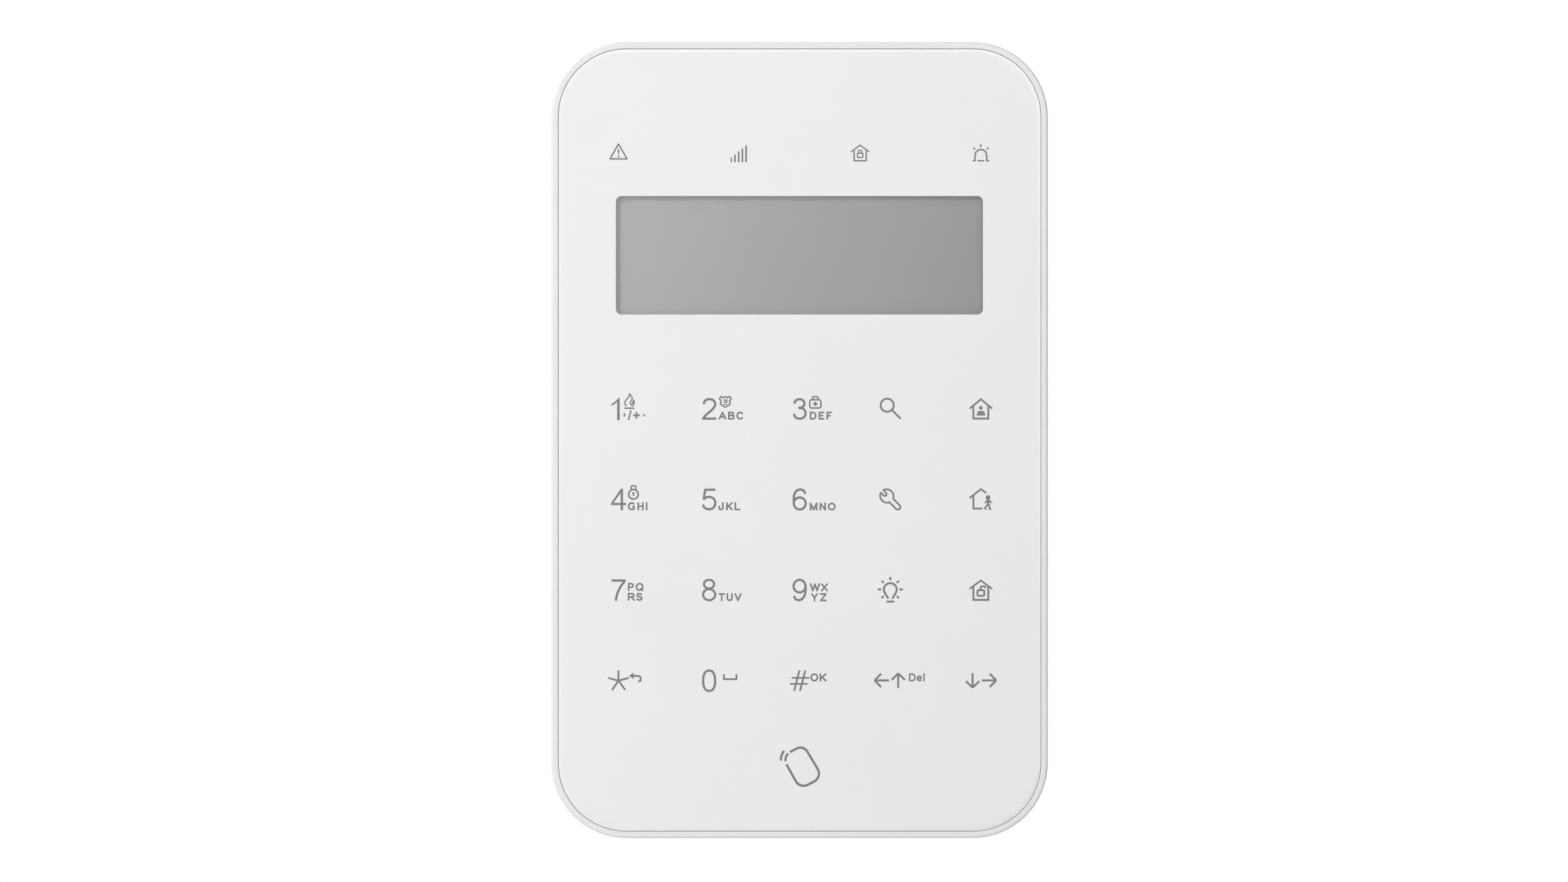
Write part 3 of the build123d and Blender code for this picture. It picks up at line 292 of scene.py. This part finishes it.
# Each letter's lines in a box of one by one, with the same kinds. An L or F line that ends on the box's edge
# is cut off flat there, and the radius of an F line is a share of the letter's height.
FORMS = {
    "A": [("L", [(0, 0), (0.5, 1), (1, 0)]), ("L", [(0.2, 0.28), (0.8, 0.28)])],
    "B": [("L", [(0, 0), (0, 1)]), ("F", [(0, 1), (0.9, 1), (0.9, 0.54), (0, 0.54)], 0.25),
          ("F", [(0, 0.54), (1, 0.54), (1, 0), (0, 0)], 0.3)],
    "C": [("S", [(1, 0.72), (0.88, 0.91), (0.55, 1), (0.17, 0.87), (0, 0.5), (0.17, 0.13), (0.55, 0),
                 (0.88, 0.09), (1, 0.28)])],
    "D": [("L", [(0, 0), (0, 1)]), ("F", [(0, 1), (1, 1), (1, 0), (0, 0)], 0.5)],
    "E": [("L", [(1, 1), (0, 1), (0, 0), (1, 0)]), ("L", [(0, 0.52), (0.92, 0.52)])],
    "F": [("L", [(1, 1), (0, 1), (0, 0)]), ("L", [(0, 0.5), (0.9, 0.5)])],
    "G": [("S", [(0.98, 0.76), (0.82, 0.94), (0.52, 1), (0.16, 0.87), (0, 0.5), (0.16, 0.13), (0.52, 0),
                 (0.82, 0.05), (1, 0.2)]),
          ("L", [(0.97, 0.12), (0.97, 0.48)]), ("L", [(0.56, 0.44), (0.98, 0.44)])],
    "H": [("L", [(0, 0), (0, 1)]), ("L", [(1, 0), (1, 1)]), ("L", [(0, 0.52), (1, 0.52)])],
    "I": [("L", [(0, 0), (0, 1)])],
    "J": [("F", [(1, 1), (1, 0), (0, 0), (0, 0.32)], 0.34)],
    "K": [("L", [(0, 0), (0, 1)]), ("L", [(0, 0.3), (0.98, 1)]), ("L", [(0.32, 0.55), (1, 0)])],
    "L": [("L", [(0, 1), (0, 0), (1, 0)])],
    "M": [("L", [(0, 0), (0, 1), (0.5, 0), (1, 1), (1, 0)])],
    "N": [("L", [(0, 0), (0, 1), (1, 0), (1, 1)])],
    "O": [("O", (0.5, 0.5), (0.5, 0.5))],
    "P": [("L", [(0, 0), (0, 1)]), ("F", [(0, 1), (1, 1), (1, 0.44), (0, 0.44)], 0.31)],
    "Q": [("O", (0.5, 0.5), (0.5, 0.5)), ("L", [(0.62, 0.28), (1, 0)])],
    "R": [("L", [(0, 0), (0, 1)]), ("F", [(0, 1), (0.94, 1), (0.94, 0.47), (0, 0.47)], 0.29),
          ("L", [(0.52, 0.47), (1, 0)])],
    "S": [("S", [(0.93, 0.74), (0.8, 0.93), (0.48, 1), (0.16, 0.93), (0.06, 0.75), (0.2, 0.58), (0.5, 0.51),
                 (0.84, 0.43), (1, 0.25), (0.86, 0.06), (0.5, 0), (0.14, 0.07), (0, 0.26)])],
    "T": [("L", [(0, 1), (1, 1)]), ("L", [(0.5, 1), (0.5, 0)])],
    "U": [("F", [(0, 1), (0, 0), (1, 0), (1, 1)], 0.46)],
    "V": [("L", [(0, 1), (0.5, 0), (1, 1)])],
    "W": [("L", [(0, 1), (0.25, 0), (0.5, 1), (0.75, 0), (1, 1)])],
    "X": [("L", [(0, 0), (1, 1)]), ("L", [(0, 1), (1, 0)])],
    "Y": [("L", [(0, 1), (0.5, 0.44)]), ("L", [(1, 1), (0.5, 0.44)]), ("L", [(0.5, 0.5), (0.5, 0)])],
    "Z": [("L", [(0, 1), (1, 1), (0, 0), (1, 0)])],
    "e": [("L", [(0.04, 0.5), (0.98, 0.5)]),
          ("S", [(1, 0.48), (0.88, 0.86), (0.52, 1), (0.14, 0.86), (0, 0.5), (0.14, 0.13), (0.52, 0),
                 (0.84, 0.06), (0.97, 0.22)])],
}


# --- shapes in the plane of the face ---

def smooth(points, steps=6):
    """Points along a curve that passes through the given ones."""
    p = [Vector(q) for q in points]
    p = [p[0] * 2 - p[1]] + p + [p[-1] * 2 - p[-2]]
    out = []
    for a, b, c, d in zip(p, p[1:], p[2:], p[3:]):
        for i in range(steps):
            t = i / steps
            out.append(0.5 * (2 * b + (c - a) * t + (2 * a - 5 * b + 4 * c - d) * t * t
                              + (3 * b - a - 3 * c + d) * t ** 3))
    return out + [p[-2]]


def filleted(points, radius, steps=8):
    """The line with each inner corner turned into an arc."""
    p = [Vector(q) for q in points]
    out = [p[0]]
    for a, b, c in zip(p, p[1:], p[2:]):
        before, after = (b - a), (c - b)
        turn = math.copysign(before.angle(after), before.x * after.y - before.y * after.x)
        if abs(turn) < 0.02:
            out.append(b)
            continue
        reach = min(radius * abs(math.tan(turn / 2)), 0.5 * before.length, 0.5 * after.length)
        first = b - before.normalized() * reach
        centre = first + Vector((-before.y, before.x)).normalized() * reach / math.tan(turn / 2)
        out += [centre + Matrix.Rotation(turn * i / steps, 2) @ (first - centre) for i in range(steps + 1)]
    return out + [p[-1]]


def oval(centre, half, power, steps=44):
    """An ellipse, or a squarer oval where the exponent is over two."""
    out = []
    for i in range(steps):
        c, s = math.cos(math.tau * i / steps), math.sin(math.tau * i / steps)
        out.append(Vector((centre[0] + half[0] * math.copysign(abs(c) ** (2 / power), c),
                           centre[1] + half[1] * math.copysign(abs(s) ** (2 / power), s))))
    return out


def ribbon(points, width, closed=False, sharp=0.3):
    """The strips along a line, mitred where it turns; a smaller sharp lets a mitre run further out."""
    p = [Vector(q) for q in points]
    p = p[:1] + [b for a, b in zip(p, p[1:]) if (b - a).length > 1e-4]
    n = len(p)
    runs = n if closed else n - 1
    way = [(p[(i + 1) % n] - p[i]).normalized() for i in range(runs)]
    edge = []
    for i in range(n):
        after = way[i % runs] if closed or i < runs else way[-1]
        before = way[i - 1] if closed or i else way[0]
        across = Vector((-before.y - after.y, before.x + after.x)).normalized()
        reach = width / 2 / max(sharp, across.dot(Vector((-after.y, after.x))))
        edge.append((p[i] + across * reach, p[i] - across * reach))
    strips = []
    for i in range(runs):
        (a, b), (c, d) = edge[i], edge[(i + 1) % n]
        strips += [[a, b, d], [a, d, c]]
    return strips


def disc(centre, radius, steps=20):
    turns = [math.tau * i / steps for i in range(steps)]
    return [Vector(centre) + Vector((math.cos(a), math.sin(a))) * radius for a in turns]


def shapes(kind, width, points, extra=None):
    """(outlines to fill, outlines to cut out) of one item of a legend."""
    if kind == "D":
        return [disc(points[0], width)], []
    if kind == "P":
        return [points], []
    if kind == "X":
        return [], [points]
    if kind == "S":
        return ribbon(smooth(points), width), []
    if kind == "F":
        return ribbon(filleted(points, extra), width), []
    if kind == "O":
        return ribbon(oval(points[0], points[1], extra), width, closed=True), []
    if kind in "CR":
        runs = zip(points, points[1:] + points[:1] if kind == "C" else points[1:])
        strips = [strip for run in runs for strip in ribbon(run, width)]
        return strips + [disc(p, width / 2) for p in points], []
    return ribbon(points, width), []


def letter(name, width, left, right, bottom, top):
    """(outlines to fill, the box they are cut off at) of one small letter."""
    def place(u, v):
        return Vector((left + width / 2 + u * (right - left - width),
                       bottom + width / 2 + v * (top - bottom - width)))

    def at_edge(u, v):
        return u in (0, 1) or v in (0, 1)

    fills = []
    for form in FORMS[name]:
        if form[0] == "O":
            half = place(*form[1]) - place(0, 0)
            fills += ribbon(oval(place(*form[1]), half, LETTER_CURVE), width, closed=True)
            continue
        line = [place(*q) for q in form[1]]
        if form[0] == "S":
            line = smooth(line)
        elif form[0] == "F":
            line = filleted(line, form[2] * (top - bottom))
        if form[0] != "S":
            if at_edge(*form[1][0]):
                line[0] = line[0] + (line[0] - line[1]).normalized() * width
            if at_edge(*form[1][-1]):
                line[-1] = line[-1] + (line[-1] - line[-2]).normalized() * width
        fills += ribbon(line, width, sharp=FLAT_END_MITRE)
    return fills, [(left, bottom), (right, bottom), (right, top), (left, top)]


def holds(outline, x, y):
    """Whether the outline goes round the point."""
    inside = False
    for (ax, ay), (bx, by) in zip(outline, outline[1:] + outline[:1]):
        if (ay > y) != (by > y) and x < ax + (y - ay) * (bx - ax) / (by - ay):
            inside = not inside
    return inside


def united(fills, cuts=(), box=None):
    """Triangles that cover the filled outlines once, without those cut out and inside the box."""
    outlines = [[tuple(q) for q in o] for o in [*fills, *cuts, *([box] if box else [])]]
    points, edges = [], []
    for o in outlines:
        start, count = len(points), len(o)
        points += [Vector(q) for q in o]
        edges += [(start + i, start + (i + 1) % count) for i in range(count)]
    found, _, triangles = delaunay_2d_cdt(points, edges, [], 0, SNAP)[:3]
    kept = []
    for t in triangles:
        x, y = (sum(found[i][k] for i in t) / 3 for k in (0, 1))
        if box and not holds(outlines[-1], x, y):
            continue
        if any(holds(o, x, y) for o in outlines[len(fills):len(fills) + len(cuts)]):
            continue
        if any(holds(o, x, y) for o in outlines[:len(fills)]):
            kept.append(list(t))
    return found, kept


def ink_piece(name, patches, material):
    """A thin closed piece standing on the face, from patches of (points, triangles) in millimetres."""
    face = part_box("front_panel")[0].y
    bm = bmesh.new()
    for points, triangles in patches:
        used = sorted({i for t in triangles for i in t})
        outer = {i: bm.verts.new((points[i].x * MM, face - INK_PROUD, points[i].y * MM)) for i in used}
        inner = {i: bm.verts.new((points[i].x * MM, face + INK_SUNK, points[i].y * MM)) for i in used}
        edges = {(a, b) for t in triangles for a, b in zip(t, t[1:] + t[:1])}
        for t in triangles:
            bm.faces.new([outer[i] for i in t])
            bm.faces.new([inner[i] for i in reversed(t)])
        for a, b in edges:
            if (b, a) not in edges:
                bm.faces.new([outer[b], outer[a], inner[a], inner[b]])
    bmesh.ops.recalc_face_normals(bm, faces=bm.faces)
    mesh = bpy.data.meshes.new(name)
    bm.to_mesh(mesh)
    bm.free()
    piece = bpy.data.objects.new(name, mesh)
    bpy.context.scene.collection.objects.link(piece)
    mesh.materials.append(material)
    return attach(piece, "case")


# --- finishes ---

def add(tree, kind, settings=None, **inputs):
    """A shader node with its inputs set or linked; an underscore in an input's name stands for a space."""
    node = tree.nodes.new(kind)
    for key, value in (settings or {}).items():
        setattr(node, key, value)
    for key, value in inputs.items():
        socket = node.inputs[key.replace("_", " ")]
        if isinstance(value, bpy.types.NodeSocket):
            tree.links.new(value, socket)
        else:
            socket.default_value = value
    return node


def new_material(name):
    material = bpy.data.materials.new(name)
    material.use_nodes = True
    tree = material.node_tree
    tree.nodes.clear()
    return material, tree, add(tree, "ShaderNodeOutputMaterial")


def spots(tree, size, stretch=(1, 1, 1), detail=3.0):
    """Noise whose spots are about that size in metres, fixed to the piece."""
    where = add(tree, "ShaderNodeTexCoord").outputs["Object"]
    place = add(tree, "ShaderNodeMapping", Vector=where, Scale=tuple(s / size for s in stretch))
    return add(tree, "ShaderNodeTexNoise", Vector=place.outputs["Vector"], Scale=1.0, Detail=detail)


def ranged(tree, value, low, high, start=0.3, end=0.7):
    """The value, which runs from start to end, turned into one that runs from low to high."""
    return add(tree, "ShaderNodeMapRange", {"clamp": True}, Value=value, From_Min=start, From_Max=end,
               To_Min=low, To_Max=high).outputs["Result"]


def blended(tree, share, a, b):
    """The first colour where the share is 0 and the second where it is 1."""
    node = tree.nodes.new("ShaderNodeMix")
    node.data_type = "RGBA"
    for index, value in ((0, share), (6, a), (7, b)):   # the mix node's sockets for a share and two colours
        if isinstance(value, bpy.types.NodeSocket):
            tree.links.new(value, node.inputs[index])
        else:
            node.inputs[index].default_value = value if index == 0 else (*value, 1)
    return node.outputs[2]


def finish(name, colour, other, rough, grain, depth, patch=0.012, stretch=(1, 1, 1), pattern=None, glow=0,
           **sockets):
    """A surface whose colour drifts between two tones and whose grain shows in its gloss and its bump.
    patch is the size of the drift, grain that of the grain and depth its height, in metres.
    pattern(tree, colour, height) gives both back with its own marks. glow is a weak light of the colour."""
    material, tree, out = new_material(name)
    tone = blended(tree, ranged(tree, spots(tree, patch).outputs[0], 0, 1), colour, other)
    fine = spots(tree, grain, stretch)
    height = fine.outputs[0]
    gloss = ranged(tree, height, rough[0], rough[1])
    if pattern:
        tone, height = pattern(tree, tone, height)
    if glow:
        sockets.update(Emission_Color=tone, Emission_Strength=glow)
    bump = add(tree, "ShaderNodeBump", Strength=1.0, Distance=depth, Height=height)
    shader = add(tree, "ShaderNodeBsdfPrincipled", Base_Color=tone, Roughness=gloss,
                 Normal=bump.outputs["Normal"], **sockets)
    tree.links.new(shader.outputs[0], out.inputs["Surface"])
    return material


def coordinate(tree, axis):
    where = add(tree, "ShaderNodeTexCoord").outputs["Object"]
    return add(tree, "ShaderNodeSeparateXYZ", Vector=where).outputs["XYZ".index(axis)]


def math_node(tree, operation, a, b=0.0, c=0.0):
    node = tree.nodes.new("ShaderNodeMath")
    node.operation = operation
    for index, value in enumerate((a, b, c)):
        if isinstance(value, bpy.types.NodeSocket):
            tree.links.new(value, node.inputs[index])
        else:
            node.inputs[index].default_value = value
    return node.outputs[0]


def lines(tree, axis, pitch, share):
    """1 on thin lines across an axis, 0 between them."""
    phase = math_node(tree, "FRACT", math_node(tree, "DIVIDE", coordinate(tree, axis), pitch))
    return math_node(tree, "LESS_THAN", phase, share)


def weave(tree, tone, height):
    """Glass cloth under solder mask, with tracks that stand a little proud and run lighter."""
    where = add(tree, "ShaderNodeTexCoord").outputs["Object"]
    place = add(tree, "ShaderNodeMapping", Vector=where, Rotation=(math.pi / 2, 0, 0))
    tracks = add(tree, "ShaderNodeTexBrick", {"offset": 0.37, "squash": 1.6}, Vector=place.outputs["Vector"],
                 Scale=1.0, Mortar_Size=0.00016, Mortar_Smooth=0.2, Brick_Width=0.0093, Row_Height=0.0021)
    cloth = math_node(tree, "MAXIMUM", lines(tree, "X", 0.0009, 0.5), lines(tree, "Z", 0.0009, 0.5))
    raised = math_node(tree, "ADD", math_node(tree, "MULTIPLY", tracks.outputs["Fac"], 1.6),
                       math_node(tree, "MULTIPLY", cloth, 0.2))
    tone = blended(tree, math_node(tree, "MULTIPLY", tracks.outputs["Fac"], 0.55), tone, (0.09, 0.34, 0.16))
    return tone, math_node(tree, "ADD", raised, math_node(tree, "MULTIPLY", height, 0.3))


def display_painted_sheen_and_grid(tree, tone, height):
    """The unlit display's tone holds a painted reflection sheen that fades from its upper left to its lower
    right, and it has a faint grid of dots.
    """
    low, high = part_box("display_glass")
    # Painted reflection sheen: the tone runs from DISPLAY_LEFT at the upper left towards DISPLAY_RIGHT at the
    # lower right.
    across = ranged(tree, coordinate(tree, "X"), 0, 0.86, low.x, high.x)
    down = ranged(tree, coordinate(tree, "Z"), 0.14, 0, low.z, high.z)
    tone = blended(tree, math_node(tree, "ADD", across, down), tone, DISPLAY_RIGHT)
    grid = math_node(tree, "MAXIMUM", lines(tree, "X", 0.00024, 0.14), lines(tree, "Z", 0.00024, 0.14))
    return blended(tree, math_node(tree, "MULTIPLY", grid, 0.03), tone, (0.12, 0.12, 0.12)), height


def tracks_in_film(tree, tone, height):
    """Parallel conductors inside a flat cable."""
    stripe = lines(tree, "X", 0.001, 0.55)
    tone = blended(tree, math_node(tree, "MULTIPLY", stripe, 0.6), tone, (0.62, 0.36, 0.14))
    return tone, math_node(tree, "ADD", height, math_node(tree, "MULTIPLY", stripe, 2.0))


def electrodes(tree, tone, height):
    """Printed conductors of the touch sheet."""
    mesh = math_node(tree, "MAXIMUM", lines(tree, "X", 0.0019, 0.08), lines(tree, "Z", 0.0019, 0.08))
    return blended(tree, math_node(tree, "MULTIPLY", mesh, 0.5), tone, (0.42, 0.44, 0.43)), height


def cell_sleeve(node, top_up):
    """A printed sleeve shrunk round a steel can: dark, with a warm ring near the raised end and bare ends."""
    low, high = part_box(node)
    length = high.z - low.z

    def sleeve(tree, tone, height):
        along = ranged(tree, coordinate(tree, "Z"), 0 if top_up else 1, 1 if top_up else 0, low.z, high.z)
        ring = math_node(tree, "MULTIPLY", math_node(tree, "GREATER_THAN", along, 0.70),
                         math_node(tree, "LESS_THAN", along, 0.93))
        line = math_node(tree, "COMPARE", along, 0.68, 0.004)
        tone = blended(tree, ring, tone, (0.56, 0.30, 0.09))
        tone = blended(tree, line, tone, (0.62, 0.62, 0.60))
        ends = math_node(tree, "MAXIMUM", math_node(tree, "GREATER_THAN", along, 1 - 0.0016 / length),
                         math_node(tree, "LESS_THAN", along, 0.0006 / length))
        return blended(tree, ends, tone, (0.60, 0.59, 0.56)), height
    return finish(f"sleeve_{node}", (0.028, 0.045, 0.075), (0.036, 0.056, 0.090), (0.24, 0.34), 0.0006,
                  0.000004, pattern=sleeve, Metallic=0.35, Coat_Weight=0.3, Coat_Roughness=0.2)


def clear_material(name, tint, rough, strength):
    """Clear plastic that lets light straight through and only reflects, more at a slant."""
    material, tree, out = new_material(name)
    haze = ranged(tree, spots(tree, 0.004).outputs[0], rough * 0.7, rough * 1.5)
    ripple = add(tree, "ShaderNodeBump", Strength=1.0, Distance=0.000002,
                 Height=spots(tree, 0.003).outputs[0])
    through = add(tree, "ShaderNodeBsdfTransparent", Color=(*tint, 1))
    gloss = add(tree, "ShaderNodeBsdfAnisotropic", Color=(strength, strength, strength, 1), Roughness=haze,
                Normal=ripple.outputs["Normal"])
    edge = add(tree, "ShaderNodeFresnel", IOR=1.35, Normal=ripple.outputs["Normal"])
    mixed = add(tree, "ShaderNodeMixShader", Fac=edge.outputs[0])
    tree.links.new(through.outputs[0], mixed.inputs[1])
    tree.links.new(gloss.outputs[0], mixed.inputs[2])
    tree.links.new(mixed.outputs[0], out.inputs["Surface"])
    return material


# The display's tones at its upper left and lower right; the fade between them is a painted reflection sheen.
DISPLAY_LEFT, DISPLAY_RIGHT = (0.406, 0.405, 0.405), (0.271, 0.270, 0.270)
CELLS_UP = ("battery_cell_1", "battery_cell_3")   # their raised ends are at the top

finishes = {
    "face_panel": finish("face_gloss", (0.885, 0.884, 0.882), (0.875, 0.873, 0.869), (0.235, 0.265), 0.0022,
                         0.0000006, patch=0.03, IOR=1.49),
    "shell_plastic": finish("shell_moulded", (0.835, 0.834, 0.828), (0.82, 0.819, 0.812), (0.42, 0.55),
                            0.00028, 0.000007, patch=0.02, IOR=1.53),
    "plate_plastic": finish("plate_moulded", (0.76, 0.758, 0.745), (0.735, 0.733, 0.72), (0.5, 0.66), 0.00045,
                            0.000014, patch=0.016, IOR=1.53),
    "adhesive_film": finish("foam_tape", (0.60, 0.60, 0.59), (0.52, 0.52, 0.51), (0.6, 0.8), 0.0002, 0.00002),
    "white_film": finish("matt_film", (0.82, 0.82, 0.81), (0.79, 0.79, 0.78), (0.5, 0.62), 0.0005, 0.000004),
    "touch_sheet": finish("touch_sheet", (0.66, 0.68, 0.66), (0.62, 0.64, 0.62), (0.2, 0.3), 0.0008, 0.000003,
                          pattern=electrodes),
    "board_laminate": finish("board_mask", (0.012, 0.105, 0.048), (0.018, 0.125, 0.055), (0.26, 0.38), 0.0004,
                             0.00003, pattern=weave, Coat_Weight=0.3, Coat_Roughness=0.25),
    "led_resin": finish("lamp_resin", (0.83, 0.76, 0.42), (0.86, 0.82, 0.55), (0.12, 0.22), 0.0004, 0.000004,
                        patch=0.0009, Coat_Weight=0.5),
    "black_resin": finish("black_resin", (0.022, 0.022, 0.024), (0.034, 0.034, 0.036), (0.38, 0.55), 0.0002,
                          0.000008, patch=0.004),
    "tinned_steel": finish("tinned_steel", (0.60, 0.60, 0.585), (0.54, 0.54, 0.53), (0.24, 0.42), 0.0003,
                           0.000004, patch=0.003, stretch=(1, 1, 0.12), Metallic=1.0),
    "copper": finish("bare_copper", (0.78, 0.40, 0.24), (0.66, 0.32, 0.18), (0.22, 0.36), 0.0002, 0.000003,
                     patch=0.002, Metallic=1.0),
    "can_aluminium": finish("can_aluminium", (0.74, 0.75, 0.76), (0.66, 0.67, 0.68), (0.22, 0.34), 0.0003,
                            0.000004, patch=0.003, stretch=(1, 0.15, 1), Metallic=1.0),
    "ferrite": finish("ferrite_sheet", (0.045, 0.045, 0.048), (0.06, 0.06, 0.064), (0.45, 0.62), 0.0003,
                      0.00001),
    # The display's glow is painted light, not a lamp: it lifts the shade at the foot of the window's recess
    # walls.
    "display_face": finish("display_grey", DISPLAY_LEFT, tuple(c * 0.985 for c in DISPLAY_LEFT), (0.16, 0.22),
                           0.0004, 0.0000006, patch=0.02, pattern=display_painted_sheen_and_grid, glow=0.45, IOR=1.5),
    "light_guide": finish("light_guide", (0.80, 0.82, 0.83), (0.77, 0.79, 0.81), (0.12, 0.2), 0.0008,
                          0.000004, Coat_Weight=0.4),
    "amber_film": finish("amber_film", (0.42, 0.17, 0.025), (0.48, 0.21, 0.035), (0.16, 0.26), 0.0006,
                         0.000006, pattern=tracks_in_film, Coat_Weight=0.5),
    "ivory_plastic": finish("ivory_plastic", (0.70, 0.64, 0.50), (0.65, 0.59, 0.45), (0.35, 0.5), 0.0003,
                            0.000006),
    "plunger_plastic": finish("plunger_plastic", (0.80, 0.80, 0.78), (0.75, 0.75, 0.73), (0.3, 0.42), 0.0003,
                              0.000006, patch=0.003),
    "spring_steel": finish("spring_wire", (0.56, 0.56, 0.55), (0.48, 0.48, 0.47), (0.22, 0.34), 0.00015,
                           0.000003, patch=0.001, Metallic=1.0),
    "button_plastic": finish("red_button", (0.40, 0.028, 0.022), (0.33, 0.022, 0.018), (0.3, 0.45), 0.0003,
                             0.000008, patch=0.003),
    "knob_plastic": finish("black_knob", (0.028, 0.028, 0.029), (0.04, 0.04, 0.041), (0.32, 0.48), 0.0002,
                           0.000008, patch=0.002),
    "green_plastic": finish("green_plastic", (0.028, 0.22, 0.085), (0.022, 0.18, 0.07), (0.32, 0.46), 0.0003,
                            0.000007, patch=0.004),
    "nickel_plate": finish("nickel_plate", (0.68, 0.66, 0.60), (0.60, 0.58, 0.53), (0.18, 0.32), 0.0003,
                           0.000004, patch=0.002, stretch=(0.12, 1, 1), Metallic=1.0),
    "screw_steel": finish("screw_zinc", (0.60, 0.61, 0.62), (0.50, 0.51, 0.52), (0.24, 0.4), 0.0002, 0.000005,
                          patch=0.0012, Metallic=1.0),
    "brass_insert": finish("turned_brass", (0.72, 0.54, 0.25), (0.62, 0.45, 0.19), (0.22, 0.36), 0.0002,
                           0.000005, patch=0.0012, Metallic=1.0),
    "clear_lens": clear_material("clear_insert", (0.985, 0.985, 0.985), 0.05, 0.9),
}
for name, node in nodes.items():
    slot = node.data.materials[0].name.split(".")[0]
    if slot == "cell_wrap":
        node.data.materials[0] = cell_sleeve(name, name in CELLS_UP)
    else:
        node.data.materials[0] = finishes[slot]

ink = finish("printed_grey", (0.206, 0.206, 0.205), (0.198, 0.198, 0.197), (0.30, 0.40), 0.0003, 0.000002,
             patch=0.002)
for name, (middle, items) in LEGENDS.items():
    centre, fills, cuts = Vector(middle), [], []
    for item in items:
        more, holes = shapes(*item)
        fills += [[centre + Vector(q) for q in o] for o in more]
        cuts += [[centre + Vector(q) for q in o] for o in holes]
    patches = [united(fills, cuts)]
    width, small = LETTERS.get(name, (0, ()))
    for form, left, right, bottom, top in small:
        outlines, limit = letter(form, width, left, right, bottom, top)
        patches.append(united(outlines, box=limit))
    ink_piece(f"legend_{name}", patches, ink)


# --- stage, lights, camera ---

def floor_slab(half_x, front, back, top, thick):
    """A pale slab with eased edges, from front to back along Y."""
    bm = bmesh.new()
    bmesh.ops.create_cube(bm, size=1)
    for v in bm.verts:
        v.co = (v.co.x * 2 * half_x, front if v.co.y < 0 else back, top if v.co.z > 0 else top - thick)
    bmesh.ops.bevel(bm, geom=bm.edges[:], offset=0.002, segments=3, affect="EDGES")
    mesh = bpy.data.meshes.new("floor")
    bm.to_mesh(mesh)
    bm.free()
    floor = bpy.data.objects.new("floor", mesh)
    bpy.context.scene.collection.objects.link(floor)
    mesh.materials.append(finish("floor_paint", (0.70, 0.70, 0.70), (0.68, 0.68, 0.68), (0.7, 0.85), 0.002,
                                 0.00002))


def area_light(name, place, aim, size, power, mirrored=True):
    data = bpy.data.lights.new(name, "AREA")
    data.shape, data.size, data.energy = "DISK", size, power
    lamp = bpy.data.objects.new(name, data)
    lamp.location = place
    lamp.rotation_euler = (Vector(aim) - Vector(place)).to_track_quat("-Z", "Y").to_euler()
    lamp.visible_camera, lamp.visible_glossy = False, mirrored
    bpy.context.scene.collection.objects.link(lamp)


def towards(tree, way, direction):
    """How far a direction in the world points one way, -1 to 1."""
    side = add(tree, "ShaderNodeVectorMath", {"operation": "DOT_PRODUCT"}, Vector=way)
    side.inputs[1].default_value = Vector(direction)
    return side.outputs["Value"]


FLOOR_DROP = 0.0366                     # the floor's top below the object
BRIGHT_WAY = (-0.58, -0.62, 0.53)       # the side of the world that gives the most light
WORLD_MOST = 0.658
RING_MIDDLE, RING_HALF = 0.936, 0.037   # a ring round the camera's place, as cosines, seen only in reflections
RING_MOST = 6.0                         # its strength at the right; it fades out towards the left

low, high = cad_box
floor_slab(1.2, -2.2, 0.46, low[2] - FLOOR_DROP, 0.01)
face_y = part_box("front_panel")[0].y
face_middle = (0, face_y, 0)
area_light("key", (-0.27, face_y - 0.78, 0.24), face_middle, 0.15, 2.25, mirrored=False)
area_light("left", (-1.3, face_y - 0.48, 0.1), face_middle, 0.6, 2.9)
area_light("top", (-0.1, face_y - 0.48, 1.3), face_middle, 0.6, 2.9)
area_light("back", (-0.5, 0.9, 0.5), (0, 0, 0), 0.6, 6.0)

world = bpy.data.worlds.new("studio")
bpy.context.scene.world = world
world.use_nodes = True
tree = world.node_tree
tree.nodes.clear()
way = add(tree, "ShaderNodeTexCoord").outputs["Generated"]
paths = add(tree, "ShaderNodeLightPath").outputs
level = ranged(tree, towards(tree, way, BRIGHT_WAY), 0.0, WORLD_MOST, -1.0, 1.0)
ring = math_node(tree, "COMPARE", towards(tree, way, (0, -1, 0)), RING_MIDDLE, RING_HALF)
glow = ranged(tree, towards(tree, way, (1, 0, 0)), 0.0, RING_MOST, -0.33, 0.33)
reflected = math_node(tree, "MULTIPLY", ring, math_node(tree, "MULTIPLY", paths["Is Glossy Ray"], glow))
strength = math_node(tree, "ADD", level, reflected)
around = add(tree, "ShaderNodeBackground", Color=(1, 1, 1, 1), Strength=strength)
seen = add(tree, "ShaderNodeBackground", Color=(1, 1, 1, 1), Strength=1.0)
choice = add(tree, "ShaderNodeMixShader", Fac=paths["Is Camera Ray"])
tree.links.new(around.outputs[0], choice.inputs[1])
tree.links.new(seen.outputs[0], choice.inputs[2])
tree.links.new(choice.outputs[0], add(tree, "ShaderNodeOutputWorld").inputs["Surface"])
bpy.context.scene.view_settings.view_transform = "Standard"

CAMERA_DISTANCE = 1.825
lens = bpy.data.cameras.new("camera")
lens.lens, lens.sensor_width, lens.clip_start, lens.clip_end = 200, 36, 0.02, 30
camera = bpy.data.objects.new("camera", lens)
camera.location = (-0.00327, face_y - CAMERA_DISTANCE, -0.0002)
camera.rotation_euler = (math.pi / 2, 0, 0)
bpy.context.scene.collection.objects.link(camera)
bpy.context.scene.camera = camera
